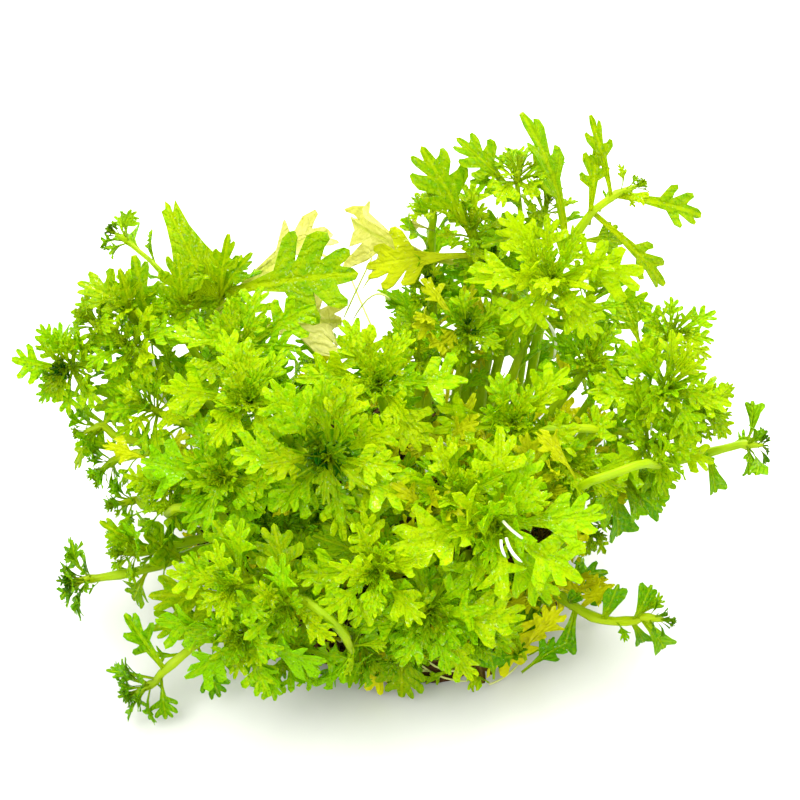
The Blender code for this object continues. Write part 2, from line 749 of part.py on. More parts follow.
def place_rosette(plan, room):
    """The outer leaves of the rosette, a little below the tip."""
    tilts = (0, -14, 8, -28)
    count = plan["arms"]
    length = plan["leaf"]
    start = plan["turn"]
    plan["outer"] = place_arms(
        plan, room, WHORL_AT, count, OUTER_LEAN, length, start, plan["outline"], tilts
    )


def place_heart(plan, room):
    """The young leaves at the very tip."""
    count = 4 if plan["leaf"] > LOBED_ABOVE else 3
    length = plan["leaf"] * 0.5
    start = plan["turn"] + 36
    plan["heart"] = place_arms(
        plan, room, HEART_AT, count, HEART_LEAN, length, start, YOUNG_OUTLINE, (0, 8)
    )


def placed_shoots():
    """Places every stem, then the single leaves, then the rosettes, so that the shoots share the room."""
    room = Room()
    room.add("root_mass", root_mesh(CLEARANCE))
    for plan in SHOOTS:
        room.add(plan["name"] + "_tip", tip_room(plan))
    for step in (place_stem, place_blades):
        for plan in SHOOTS:
            step(plan, room)
    largest_first = sorted(SHOOTS, key=lambda plan: -plan["leaf"])
    for step in (place_heart, place_rosette, place_lower):
        for plan in largest_first:
            step(plan, room)
    return SHOOTS


def mesh_object(name, mesh):
    """An object from points in millimetres, facing outward."""
    points, faces = mesh
    data = bpy.data.meshes.new(name)
    data.from_pydata([point * MM for point in points], [], faces)
    shape = bmesh.new()
    shape.from_mesh(data)
    bmesh.ops.recalc_face_normals(shape, faces=shape.faces)
    bmesh.ops.triangulate(shape, faces=shape.faces)
    if shape.calc_volume(signed=True) < 0:
        bmesh.ops.reverse_faces(shape, faces=shape.faces)
    shape.to_mesh(data)
    shape.free()
    result = bpy.data.objects.new(name, data)
    bpy.context.scene.collection.objects.link(result)
    return result


def fused(name, meshes, material):
    """One solid from pieces that grow out of one another."""
    body = mesh_object(name, meshes[0])
    helpers = [mesh_object(f"{name}_piece_{i}", mesh) for i, mesh in enumerate(meshes[1:])]
    for helper in helpers:
        join = body.modifiers.new(helper.name, "BOOLEAN")
        join.operation = "UNION"
        join.solver = "EXACT"
        join.object = helper
    graph = bpy.context.evaluated_depsgraph_get()
    data = bpy.data.meshes.new_from_object(body.evaluated_get(graph))
    body.modifiers.clear()
    body.data = data
    for helper in helpers:
        bpy.data.objects.remove(helper)
    body.data.materials.clear()
    body.data.materials.append(material)
    return body


def plain_material(name, colour, roughness):
    """A Principled material in one colour."""
    made = bpy.data.materials.new(name)
    made.use_nodes = True
    shader = made.node_tree.nodes["Principled BSDF"]
    shader.inputs["Base Color"].default_value = (*colour, 1)
    shader.inputs["Roughness"].default_value = roughness
    shader.inputs["Metallic"].default_value = 0.0
    made.diffuse_color = (*colour, 1)
    return made


def make_shoot(plan, material):
    """Stem and rosette, with the single leaves fused on."""
    meshes = [shoot_mesh(plan)]
    for leaf in plan["leaves"]:
        meshes.append(leaf_mesh(stem_point(plan, leaf["along"]), leaf))
    return fused(plan["name"], meshes, material)


def make_root_mass():
    """The tangle of old stems and roots that the bunch rests on."""
    return fused("root_mass", [root_mesh()], plain_material("root", (0.16, 0.09, 0.035), 0.8))


def main():
    """Clears the scene, then makes the root mass and every shoot."""
    for old in list(bpy.data.objects):
        bpy.data.objects.remove(old)
    make_root_mass()
    leaf_green = plain_material("leaf", (0.30, 0.52, 0.01), 0.45)
    for plan in placed_shoots():
        make_shoot(plan, leaf_green)


if __name__ == "__main__":
    main()
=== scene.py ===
# %% [markdown]
# # A bunch of water violet
#
# The real thing is a handful of soft water plant, picked and laid down: pale fleshy stems spread from a
# tangle of old roots, and each stem carries lobed leaves that crowd into a rosette at its tip. It could
# be scattered with particles or hair, but then nobody could take one shoot in hand. Here every shoot is a
# mesh of its own, made leaf by leaf on the plain solid that the frame holds for it, so the looks and the
# solids stay in step.

# %% Loading the frame
import math
import random

import bmesh
import bpy
from mathutils import Matrix, Vector, noise
from mathutils.bvhtree import BVHTree


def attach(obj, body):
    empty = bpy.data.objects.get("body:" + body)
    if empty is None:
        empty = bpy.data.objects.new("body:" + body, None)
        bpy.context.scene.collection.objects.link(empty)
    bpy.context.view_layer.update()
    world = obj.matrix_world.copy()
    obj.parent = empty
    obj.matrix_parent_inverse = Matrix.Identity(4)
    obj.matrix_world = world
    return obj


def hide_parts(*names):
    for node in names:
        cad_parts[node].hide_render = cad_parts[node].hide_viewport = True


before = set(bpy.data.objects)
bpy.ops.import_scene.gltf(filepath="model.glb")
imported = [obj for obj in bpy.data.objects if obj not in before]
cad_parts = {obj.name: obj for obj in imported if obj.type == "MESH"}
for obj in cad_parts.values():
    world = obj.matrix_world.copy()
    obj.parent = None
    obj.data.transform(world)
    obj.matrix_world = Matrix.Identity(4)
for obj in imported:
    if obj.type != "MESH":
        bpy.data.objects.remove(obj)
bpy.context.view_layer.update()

MM = 0.001
print("nodes in the frame:", len(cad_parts))

# %% [markdown]
# ## The sizes that drive the plant
#
# A fresh stem of this plant is about 2.4 mm thick and its largest leaf 23 mm long. All sizes are in
# millimetres and are turned into metres only when a mesh is finished, which keeps the numbers easy to
# think about. Each tip is given by the place where the view shows it and its height, which is how a
# florist would sketch the bunch first.

# %% Sizes of the plant
ROOT_HALF_LENGTH = 37.0
ROOT_HALF_DEPTH = 36.0
ROOT_HEIGHT = 15.0
ROOT_CENTRE = Vector((-6.0, -3.0, 0.0))
STEM_RADIUS = 1.25
STEM_TIP_RADIUS = 0.8
STEM_SIDES = 4
FOOT_SHARE = 0.52
SHORTEST_END = 6.0
SHORT_STEM = 24.0
LARGEST_TURN = math.radians(50.0)
LEAF_HALF_THICKNESS = 0.5
STALK_HALF_WIDTH = 0.45
NARROW_BELOW = 0.46
HUB_RADIUS = 1.7
CLEARANCE = 0.4
TIP_ROOM = 4.5
LOWER_LEAF = 13.0
LOBED_ABOVE = 15.5
OUTER_LEAN = 18.0
HEART_LEAN = 52.0
GOLDEN_ANGLE = 137.5
STEM_END = -3.2
WHORL_AT = -2.2
HEART_AT = 0.0
APEX_AT = 1.6
print("root tangle in mm:", 2 * ROOT_HALF_LENGTH, "by", 2 * ROOT_HALF_DEPTH, "by", ROOT_HEIGHT)
print("stem in mm:", 2 * STEM_RADIUS, "thick below and", 2 * STEM_TIP_RADIUS, "at its tip")

# %% [markdown]
# ## The view as a ruler
#
# The bunch is seen from above through a long lens. A place across and down in the view stands for one
# line of sight, and together with a height above the table it gives one point in space. Guessing three
# coordinates for every leaf would be slower, and the leaves would not cover one another as they do in
# the view.

# %% From the view to the plant
VIEW_ELEVATION = math.radians(42.0)
VIEW_DISTANCE = 444.0
VIEW_TARGET = Vector((-4.0, 17.9, 19.9))
VIEW_UNIT = 0.2
VIEW_MIDDLE = 400.0
VIEW_RIGHT = Vector((1.0, 0.0, 0.0))
VIEW_UP = Vector((0.0, math.sin(VIEW_ELEVATION), math.cos(VIEW_ELEVATION)))
VIEW_FORWARD = Vector((0.0, math.cos(VIEW_ELEVATION), -math.sin(VIEW_ELEVATION)))


def seen(across, down, height):
    """The point at this height that the view shows at this place."""
    eye = VIEW_TARGET - VIEW_FORWARD * VIEW_DISTANCE
    aim = VIEW_FORWARD * VIEW_DISTANCE
    aim += VIEW_RIGHT * (across - VIEW_MIDDLE) * VIEW_UNIT
    aim += VIEW_UP * (VIEW_MIDDLE - down) * VIEW_UNIT
    return eye + aim * ((height - eye.z) / aim.z)


print("the middle of the view in mm:", [round(value, 1) for value in seen(400, 400, 20)])

# %% [markdown]
# ## The list of shoots
#
# Each row is one shoot: the place of its tip, the length and number of the leaves in its rosette, the way
# it faces, and the larger single leaves that stand out on it. A table like this is quicker to read and to
# change than sixty hand-placed objects, and the solids of the frame come from the same rows.

# %% The shoots
def shoot(name, tip, leaf, arms, facing, via=None, turn=0.0, blades=(), foot=None, lower=0):
    """One shoot: where its tip is seen, its rosette's leaves by length and number, and its single leaves."""
    return {
        "name": "shoot_" + name,
        "tip": seen(*tip),
        "leaf": leaf,
        "arms": arms,
        "facing": Vector(facing).normalized(),
        "via": seen(*via) if via else None,
        "turn": turn,
        "blades": blades,
        "foot": Vector(foot) if foot else None,
        "lower": lower,
    }


def blade(along, tip, width=0.66, kind="green", roll=0.0, arch=0.10):
    """A single leaf: how far along its stem it grows, where its tip is seen, and its width for its length."""
    tip = seen(*tip)
    return {"along": along, "tip": tip, "width": width, "kind": kind, "roll": roll, "arch": arch}


SHOOTS = [
    # Back, from left to right
    shoot("upper_left", (224, 282, 55), 9, 3, (0.1, -0.2, 1), via=(206, 332, 44), turn=200, blades=(
        blade(0.93, (165, 201, 65), 0.62, roll=-10), blade(0.99, (359, 274, 60), 0.64),
        blade(0.97, (229, 233, 68), 0.30), blade(0.95, (253, 252, 64), 0.30),
        blade(0.66, (341, 322, 34), 0.50, "pale", arch=0.16),
        blade(0.82, (330, 233, 46), 0.30, "pale", arch=0.22),
    )),
    shoot("left_curl", (119, 236, 57), 7, 4, (-0.7, 0.1, 0.6), via=(158, 268, 53)),
    shoot("left_upright", (186, 303, 51), 10, 4, (0, -0.2, 1), via=(190, 345, 40), blades=(
        blade(0.95, (178, 253, 63), 0.50),
    )),
    shoot("left_fingers", (128, 312, 50), 11, 4, (-0.3, -0.3, 1), via=(160, 345, 40), blades=(
        blade(0.93, (77, 283, 55), 0.75), blade(0.97, (119, 268, 60), 0.40),
        blade(0.80, (134, 254, 61), 0.42),
    )),
    shoot("back_left", (176, 318, 34), 15, 5, (-0.5, 0.8, 0.4), lower=2),
    shoot("back_low_left", (225, 352, 17), 15, 5, (-0.4, 0.9, 0.25)),
    shoot("back_notch", (322, 352, 20), 12, 3, (0.1, 1, 0.3), blades=(
        blade(0.90, (332, 342, 26), 0.55, "yellow"),
    )),
    shoot("fork", (433, 207, 61), 8, 4, (0, 0.2, 1), via=(431, 240, 52), lower=1, blades=(
        blade(0.93, (402, 222, 56), 0.55, "pale"),
    )),
    shoot("top_finger", (474, 231, 58), 12, 4, (-0.1, -0.2, 0.9), via=(466, 300, 42), lower=1, blades=(
        blade(0.97, (421, 146, 74), 0.46), blade(0.90, (366, 268, 48), 0.62, "lime"),
        blade(0.82, (352, 217, 48), 0.50, "pale", arch=0.18), blade(0.78, (458, 262, 44), 0.50, "pale"),
    )),
    shoot("top_bud", (518, 174, 70), 11, 7, (0, 0.1, 1), via=(521, 240, 56), lower=2, blades=(
        blade(0.95, (456, 138, 76), 0.46), blade(0.92, (487, 186, 64), 0.40),
    )),
    shoot("top_small", (546, 206, 61), 10, 5, (0.2, -0.1, 1), lower=2),
    shoot("arch_right", (632, 188, 65), 7, 3, (0.9, 0.2, 0.3), via=(592, 212, 62), blades=(
        blade(0.99, (701, 216, 57), 0.42), blade(0.88, (664, 286, 46), 0.34),
        blade(0.66, (519, 112, 80), 0.30, roll=40), blade(0.97, (590, 114, 80), 0.28),
        blade(0.84, (598, 138, 75), 0.34), blade(0.74, (622, 243, 52), 0.55),
    )),
    shoot("back_middle", (500, 292, 38), 15, 5, (0.1, 1, 0.4), lower=2),
    shoot("back_low_middle", (432, 326, 16), 15, 5, (0, 1, 0.25)),
    shoot("back_right", (588, 300, 38), 15, 5, (0.5, 0.9, 0.3), lower=2),
    shoot("back_low_right", (572, 356, 15), 15, 5, (0.5, 0.8, 0.3)),
    # Upper middle
    shoot("top_rosette", (551, 281, 61), 18, 6, (0.05, -0.6, 0.8), blades=(
        blade(0.92, (499, 350, 44), 0.60), blade(0.90, (608, 350, 44), 0.50),
    )),
    shoot("dark_middle", (494, 262, 52), 12, 5, (-0.2, -0.5, 0.9)),
    shoot("bud_middle", (431, 288, 48), 8, 5, (-0.1, -0.3, 1)),
    shoot("gloss_middle", (468, 333, 49), 11, 5, (0, -0.5, 0.9)),
    shoot("bud_low_middle", (414, 352, 43), 8, 5, (-0.3, -0.4, 0.9)),
    shoot("left_gloss", (240, 348, 54), 16, 5, (-0.1, -0.5, 0.9)),
    shoot("left_centre", (252, 402, 52), 17, 6, (-0.1, -0.6, 0.8)),
    shoot("upper_centre", (380, 385, 54), 18, 6, (0, -0.6, 0.8)),
    # Left
    shoot("left_rosette", (69, 368, 43), 11.5, 7, (-0.25, -0.8, 0.5), via=(112, 368, 40)),
    shoot("left_high", (92, 322, 50), 9, 5, (-0.6, -0.2, 0.8)),
    shoot("left_back", (131, 346, 47), 13, 5, (-0.3, -0.5, 0.8), blades=(
        blade(0.95, (106, 424, 34), 0.66),
    )),
    shoot("left_drop", (88, 431, 30), 8, 4, (-0.9, -0.2, -0.3), via=(125, 438, 29), blades=(
        blade(0.98, (76, 470, 20), 0.30),
    )),
    shoot("left_droop", (104, 468, 23), 8.5, 5, (-0.8, -0.3, -0.5), via=(150, 452, 29)),
    shoot("left_small", (122, 503, 22), 7, 6, (-0.9, -0.4, 0.1), via=(162, 508, 23)),
    shoot("left_small_rosette", (166, 488, 33), 10, 6, (-0.3, -0.7, 0.6), blades=(
        blade(0.85, (163, 462, 34), 0.85, "yellow"),
    )),
    shoot("left_inner", (152, 408, 41), 14, 5, (-0.4, -0.4, 0.8)),
    shoot("left_middle", (226, 478, 43), 16, 6, (-0.2, -0.7, 0.7)),
    # Lower left
    shoot("left_low", (80, 580, 18), 9.5, 7, (-1, -0.4, 0.25), via=(128, 573, 19), blades=(
        blade(0.45, (143, 535, 31), 0.62), blade(0.62, (134, 600, 10), 0.70),
    )),
    shoot("left_fan", (127, 553, 25), 8, 5, (-0.7, -0.5, 0.5), blades=(
        blade(0.93, (99, 521, 31), 0.42), blade(0.80, (112, 540, 24), 0.42),
    )),
    shoot("left_runner", (140, 690, 8), 9.5, 6, (-0.8, -0.5, -0.1), via=(190, 649, 13), blades=(
        blade(0.88, (124, 613, 22), 0.44, "dark"), blade(0.62, (220, 697, 3), 0.50, "dark"),
        blade(0.93, (166, 719, 2), 0.60, "dark"), blade(0.97, (106, 670, 9), 0.30, "dark"),
        blade(0.35, (150, 630, 18), 0.50), blade(0.25, (148, 596, 23), 0.50),
    )),
    shoot("front_left", (245, 632, 26), 17, 6, (-0.25, -0.9, 0.35)),
    shoot("left_lobed", (236, 586, 36), 14, 4, (-0.3, -0.8, 0.5), blades=(
        blade(0.93, (213, 520, 46), 0.80),
    )),
    shoot("left_lobed_small", (286, 604, 34), 13, 4, (-0.1, -0.9, 0.4), blades=(
        blade(0.97, (274, 523, 45), 0.62), blade(0.80, (252, 552, 36), 0.55),
    )),
    shoot("front_left_low", (291, 652, 19), 13, 6, (-0.1, -0.95, 0.15)),
    # Front and centre
    shoot("centre_rosette", (330, 456, 50), 20, 7, (-0.05, -0.75, 0.66)),
    shoot("front_middle", (378, 570, 38), 16, 5, (-0.1, -0.8, 0.6), blades=(
        blade(0.97, (367, 470, 50), 0.42), blade(0.70, (312, 536, 38), 0.55),
    )),
    shoot("front_low", (362, 646, 15), 14, 5, (0.5, -0.8, -0.3), via=(326, 606, 26)),
    shoot("front_hanging", (402, 648, 13), 11, 3, (0, -0.95, -0.1), blades=(
        blade(0.97, (402, 697, 1.5), 0.70), blade(0.70, (366, 690, 1.5), 0.60, "yellow"),
    )),
    shoot("front_rosette", (431, 608, 29), 18, 6, (0, -0.9, 0.45)),
    shoot("centre_leafy", (462, 494, 46), 15, 6, (0, -0.75, 0.66)),
    shoot("front_bright", (494, 523, 42), 21, 6, (0.1, -0.8, 0.6)),
    shoot("front_right_low", (474, 632, 18), 12, 4, (0.2, -0.9, 0.2), blades=(
        blade(0.70, (524, 662, 2.5), 0.75, "yellow"), blade(0.80, (483, 683, 2), 0.32, "brown"),
    )),
    shoot("centre_right", (510, 424, 47), 16, 5, (0.1, -0.6, 0.8)),
    # Right
    shoot("right_dark", (588, 366, 50), 12, 5, (0.2, -0.4, 0.9)),
    shoot("right_high", (673, 335, 53), 10.5, 6, (0.4, -0.5, 0.75), via=(638, 347, 48), blades=(
        blade(0.85, (625, 303, 52), 0.72),
    )),
    shoot("right_rosette", (666, 388, 50), 14.5, 7, (0.2, -0.7, 0.66)),
    shoot("right_edge", (701, 411, 42), 10, 6, (0.6, -0.6, 0.5)),
    shoot("right_middle", (652, 444, 41), 16, 5, (0.4, -0.7, 0.6), via=(598, 428, 38), blades=(
        blade(0.93, (667, 496, 29), 0.62),
    )),
    shoot("far_right", (757, 445, 34), 8, 5, (1, -0.1, 0.05), via=(722, 449, 33), blades=(
        blade(0.80, (715, 493, 24), 0.30, "dark"),
    )),
    shoot("right_under", (628, 482, 29), 12, 4, (0.6, -0.6, 0.3), blades=(
        blade(0.96, (662, 512, 20), 0.26, "dark"), blade(0.90, (617, 536, 14), 0.32, "dark"),
    )),
    shoot("right_fold", (566, 462, 42), 14, 5, (0.2, -0.7, 0.7)),
    shoot("right_hanging", (590, 528, 18), 10, 4, (0.5, -0.8, 0.1), blades=(
        blade(0.75, (573, 563, 10), 0.62, "yellow"), blade(0.60, (560, 612, 2.5), 0.50, "yellow"),
    )),
    shoot("right_runner", (660, 619, 14), 5, 3, (1, -0.2, 0), via=(600, 619, 11), foot=(25, -27, 0), blades=(
        blade(0.16, (541, 572, 20), 0.50, "dark"), blade(0.22, (516, 640, 6), 0.42, "dark"),
        blade(0.40, (580, 592, 17), 0.46, "dark"), blade(0.45, (562, 652, 4), 0.46, "dark"),
        blade(0.64, (618, 583, 21), 0.50, "dark"), blade(0.92, (652, 584, 20), 0.46, "dark"),
        blade(0.86, (643, 642, 6), 0.44, "dark"), blade(0.98, (664, 648, 5), 0.50, "dark"),
    )),
]
print("shoots:", len(SHOOTS), "single leaves:", sum(len(plan["blades"]) for plan in SHOOTS))

# %% [markdown]
# ## The height of the root tangle
#
# The tangle is a low mound with a few lumps round its edge. Two short formulas give its height at any
# place, so that a stem can start inside it and a root can creep over it. A sculpted mesh would look as
# good, but a formula answers at once and needs no search.

# %% The tangle's height
DOME_SQUARE = 1.6
LUMP = 0.035


def root_top(x, y):
    """Height of the root mass here: a low dome, squared off towards its rim."""
    across = (x - ROOT_CENTRE.x) / ROOT_HALF_LENGTH
    deep = (y - ROOT_CENTRE.y) / ROOT_HALF_DEPTH
    share = min(1.0, across**2 + deep**2)
    return ROOT_HEIGHT * math.sqrt(1 - share**DOME_SQUARE)


def lumps(angle, share):
    """The tangle's uneven surface, as a share of its size."""
    waves = math.sin(3 * angle + 5 * share) + math.sin(7 * angle - 9 * share + 1.0)
    return 1 + LUMP * waves


print("height of the tangle in its middle in mm:", round(root_top(ROOT_CENTRE.x, ROOT_CENTRE.y), 1))

# %% [markdown]
# ## Stems as curves
#
# A stem rises from the root tangle and bends over to where its leaves find light. A cubic curve with two
# controls gives that bend, and two such curves in a row lead a stem through a place that the view shows.
# A curve object would do the same, but here each stem has to be tested and moved before it is made.

# %% The curve of a stem
FOOT_REACH = 0.84  # of the tangle's half length and half depth
STEM_RISE = Vector((0, 0, 0.5))
SWAY_ABOVE = 0.4


def foot_of(plan, shift):
    """Where the stem leaves the root mass: towards its tip, but drawn in to the middle."""
    foot = (plan["foot"] or plan["tip"] * FOOT_SHARE) + shift
    across = (foot.x - ROOT_CENTRE.x) / (FOOT_REACH * ROOT_HALF_LENGTH)
    deep = (foot.y - ROOT_CENTRE.y) / (FOOT_REACH * ROOT_HALF_DEPTH)
    reach = max(1.0, math.hypot(across, deep))
    x = ROOT_CENTRE.x + (foot.x - ROOT_CENTRE.x) / reach
    y = ROOT_CENTRE.y + (foot.y - ROOT_CENTRE.y) / reach
    return Vector((x, y, root_top(x, y) * (1 + 2 * LUMP) + STEM_RADIUS + CLEARANCE))


def bezier(controls, t):
    """A point on the cubic curve through these four controls."""
    a, b, c, d = controls
    s = 1 - t
    return a * s**3 + b * 3 * s * s * t + c * 3 * s * t * t + d * t**3


def stem_curve(plan, facing, shift, sway):
    """The curve of a stem as one or two cubic pieces, its foot shifted and its middle swayed."""
    foot = foot_of(plan, shift)
    tip = plan["tip"]
    through = plan["via"]
    if through is None:
        length = (tip - foot).length
        rise = ((tip - foot).normalized() + STEM_RISE).normalized()
        upper = tip - facing * length * 0.3 + sway * SWAY_ABOVE
        return [(foot, foot + rise * length * 0.4 + sway, upper, tip)]
    first = (through - foot).length / 3
    last = (tip - through).length / 3
    outward = (tip - through).normalized()
    rise = ((through - foot).normalized() + STEM_RISE).normalized()
    middle = ((through - foot).normalized() + outward).normalized()
    ending = (outward + facing * 0.5).normalized()
    return [
        (foot, foot + rise * first + sway, through - middle * first + sway * SWAY_ABOVE, through),
        (through, through + middle * last, tip - ending * last, tip),
    ]


def curve_point(pieces, t):
    """A point on a curve of one or two pieces, each with its share of the length."""
    if len(pieces) == 1:
        return bezier(pieces[0], t)
    lengths = [(piece[3] - piece[0]).length for piece in pieces]
    share = lengths[0] / sum(lengths)
    if t < share:
        return bezier(pieces[0], t / share)
    return bezier(pieces[1], (t - share) / (1 - share))


test_controls = [Vector((x, 0, x * x)) for x in range(4)]
print("half way along a test curve:", [round(value, 2) for value in bezier(test_controls, 0.5)])

# %% [markdown]
# ## Rings round a stem
#
# To find out whether two stems touch, each is turned into rings of corners round its curve. Every ring is
# turned as little as possible from the one before, so that the tube never twists, and a leaf can ask for
# the point and the directions at any place along the stem.

# %% Rings, tubes and directions
def frame_along(direction):
    """Two directions square to this one."""
    helper = Vector((0, 0, 1)) if abs(direction.z) < 0.9 else Vector((1, 0, 0))
    side = direction.cross(helper).normalized()
    return side, direction.cross(side).normalized()


def spoke(axis, degrees):
    """The direction square to this axis at so many degrees round it."""
    side, up = frame_along(axis)
    turn = math.radians(degrees)
    return side * math.cos(turn) + up * math.sin(turn)


def tilted(axis, out, degrees):
    """A direction that leans from out towards the axis by so many degrees."""
    tilt = math.radians(degrees)
    return out * math.cos(tilt) + axis * math.sin(tilt)


def stem_rings(plan, swell=0.0):
    """The stem's cross-sections, tapering, from its foot to just below its rosette."""
    short = (plan["curve"][0][3] - plan["curve"][0][0]).length < SHORT_STEM
    segments = 4 if plan["via"] else 2 if short else 3
    centres = [curve_point(plan["curve"], i / segments) for i in range(segments)]
    centres = [centre for centre in centres if (plan["tip"] - centre).length > SHORTEST_END]
    centres.append(plan["tip"] + plan["facing"] * STEM_END)
    segments = len(centres) - 1
    side, up = frame_along((centres[1] - centres[0]).normalized())
    rings = []
    for i, centre in enumerate(centres):
        direction = (centres[min(i + 1, segments)] - centres[max(i - 1, 0)]).normalized()
        if i == segments:
            direction = plan["facing"]
        side = (side - direction * side.dot(direction)).normalized()
        up = direction.cross(side)
        radius = STEM_RADIUS + (STEM_TIP_RADIUS - STEM_RADIUS) * i / segments + swell
        ring = []
        for k in range(STEM_SIDES):
            angle = 2 * math.pi * k / STEM_SIDES
            ring.append(centre + (side * math.cos(angle) + up * math.sin(angle)) * radius)
        rings.append(ring)
    return rings


def stem_point(plan, along):
    """The middle of the stem at this share of its length."""
    centres = [sum(ring, Vector()) / STEM_SIDES for ring in plan["stem"]]
    place = min(along, 0.999) * (len(centres) - 1)
    i = int(place)
    return centres[i].lerp(centres[i + 1], place - i)


def band(start, count):
    """Four-sided faces between one ring of corners and the next."""
    pairs = [(start + k, start + (k + 1) % count) for k in range(count)]
    return [(a, b, b + count, a + count) for a, b in pairs]


def capped(rings):
    """The stem's stand-in: its rings joined into a closed tube."""
    points = [point for ring in rings for point in ring]
    faces = [tuple(reversed(range(STEM_SIDES)))]
    for i in range(len(rings) - 1):
        faces += band(i * STEM_SIDES, STEM_SIDES)
    return points, faces + [tuple(range(len(points) - STEM_SIDES, len(points)))]


print("directions across an upright stem:", [tuple(axis) for axis in frame_along(Vector((0, 0, 1)))])

# %% [markdown]
# ## A plain leaf that looks for room
#
# Leaves in a bunch push one another aside. While a leaf looks for room, a plain wedge stands in for it,
# with the fewest corners that still hold its stalk, its lobes and its thickness. The real leaf is laid
# there later. Testing the finished leaves would take minutes for the same answer.

# %% Stand-in for a single leaf
LOBED_HALF = ((0.36, 0.16), (0.60, 1.0), (0.63, 0.44), (0.86, 0.76), (0.89, 0.30))
NARROW_HALF = ((0.62, 1.0), (0.86, 0.62))
LOBED_SPINE = (0.48, 0.78)
NARROW_SPINE = (0.55,)
STALK_SINK = 0.3


def leaf_axes(base, tip, roll):
    """A leaf's own directions: along it, across it and out of its upper face, which looks at the view."""
    along = (tip - base).normalized()
    face = -VIEW_FORWARD + Vector((0, 0, 0.3))
    face = (face - along * face.dot(along)).normalized()
    across = face.cross(along)
    turn = math.radians(roll)
    across = across * math.cos(turn) + face * math.sin(turn)
    return along, across, along.cross(across)


def leaf_mesh(base, leaf, swell=0.0):
    """A single leaf as a closed solid: thin at its edge, thick along its midrib, arched along its length."""
    along, across, face = leaf_axes(base, leaf["tip"], leaf["roll"])
    length = (leaf["tip"] - base).length
    half = leaf["width"] * length / 2
    start = base - along * STALK_SINK

    def place(share, side, lift):
        arch = leaf["arch"] * length * 4 * share * (1 - share)
        ahead = along * (share * (length + swell + STALK_SINK))
        return start + ahead + across * side + face * (arch + lift)

    narrow = leaf["width"] < NARROW_BELOW
    edge = [(0.0, STALK_HALF_WIDTH)]
    edge += [(share, side * (half + swell)) for share, side in (NARROW_HALF if narrow else LOBED_HALF)]
    outline = [(share, -side) for share, side in edge]
    outline.append((1.0, 0.0))
    outline += reversed(edge)
    spine = NARROW_SPINE if narrow else LOBED_SPINE
    thick = LEAF_HALF_THICKNESS + swell
    points = [place(share, side, 0.0) for share, side in outline]
    points += [place(share, 0.0, thick) for share in spine]
    points += [place(share, 0.0, -thick) for share in spine]
    count = len(outline)
    turning = len(edge) // 2
    upper = []
    for i in range(count):
        after = (i + 1) % count
        far = not narrow and turning + 1 <= i < count - 2 - turning
        upper.append((i, after, count + 1 if far else count))
    if not narrow:
        upper.append((turning + 1, count + 1, count))
        upper.append((count - 2 - turning, count, count + 1))
    shift = len(spine)
    lower = [tuple(i + shift if i >= count else i for i in reversed(face)) for face in upper]
    return points, upper + lower


print("corners of half a stand-in, lobed and narrow:", len(LOBED_HALF), len(NARROW_HALF))

# %% [markdown]
# ## Plain arms of a rosette
#
# The leaves of a rosette share one middle and stand round the stem like spokes. Their stand-ins are flat
# wedges that start from the same small hub. An outline is a list of angles and reaches, so a lobed, a
# small and a young leaf differ by a few numbers only.

# %% Stand-ins for a rosette
LOBED_OUTLINE = ((-21.0, 0.68), (-8.0, 0.76), (0.0, 1.0), (8.0, 0.76), (21.0, 0.68))
SMALL_OUTLINE = ((-17.0, 0.78), (0.0, 1.0), (17.0, 0.78))
YOUNG_OUTLINE = ((0.0, 1.0),)
HUB_HALF_ANGLE = 45
HUB_FRONT = 1.6 + CLEARANCE
HUB_BACK = 1.2 + CLEARANCE
ARM_SWELL = CLEARANCE + 0.2


def arm_mesh(centre, facing, arm, outline):
    """The stand-in for one rosette leaf, a little larger than the leaf."""
    angle, lean, length = arm
    ring = [centre + spoke(facing, angle - HUB_HALF_ANGLE) * HUB_RADIUS]
    for offset, share in outline:
        out = spoke(facing, angle + offset)
        ring.append(centre + tilted(facing, out, lean) * (length * share + ARM_SWELL))
    ring.append(centre + spoke(facing, angle + HUB_HALF_ANGLE) * HUB_RADIUS)
    last = len(ring) - 1
    front, back = last + 1, last + 2
    faces = [(i, i + 1, front) for i in range(last)]
    faces += [(i + 1, i, back) for i in range(last)]
    faces += [(front, back, 0), (front, last, back)]
    return ring + [centre + facing * HUB_FRONT, centre - facing * HUB_BACK], faces


print("corners at the end of a lobed arm:", len(LOBED_OUTLINE))

# %% [markdown]
# ## Who has taken which room
#
# A BVH tree sorts the faces of a mesh so that the question whether two meshes overlap is answered in a
# moment. The room keeps one tree for each thing that has its place. A new leaf is turned, tilted or
# shortened until it overlaps no tree of another shoot, which is how real leaves end up too, only slower.

# %% The room and the root tangle in it
def box_round(points):
    """The lowest and the highest corner of the box round these points."""
    return [min(axis) for axis in zip(*points)], [max(axis) for axis in zip(*points)]


class Room:
    """What has been placed so far, so that no shoot passes through another."""

    def __init__(self):
        self.placed = []

    def add(self, owner, mesh):
        self.placed.append((owner, *box_round(mesh[0]), BVHTree.FromPolygons(*mesh)))

    def holds(self, own, mesh):
        """Whether this mesh clears the surface below and everything but its own shoot."""
        low, high = box_round(mesh[0])
        if low[2] < CLEARANCE:
            return False
        tree = BVHTree.FromPolygons(*mesh)
        for other, other_low, other_high, other_tree in self.placed:
            apart = any(low[i] > other_high[i] or high[i] < other_low[i] for i in range(3))
            if other not in own and not apart and tree.overlap(other_tree):
                return False
        return True


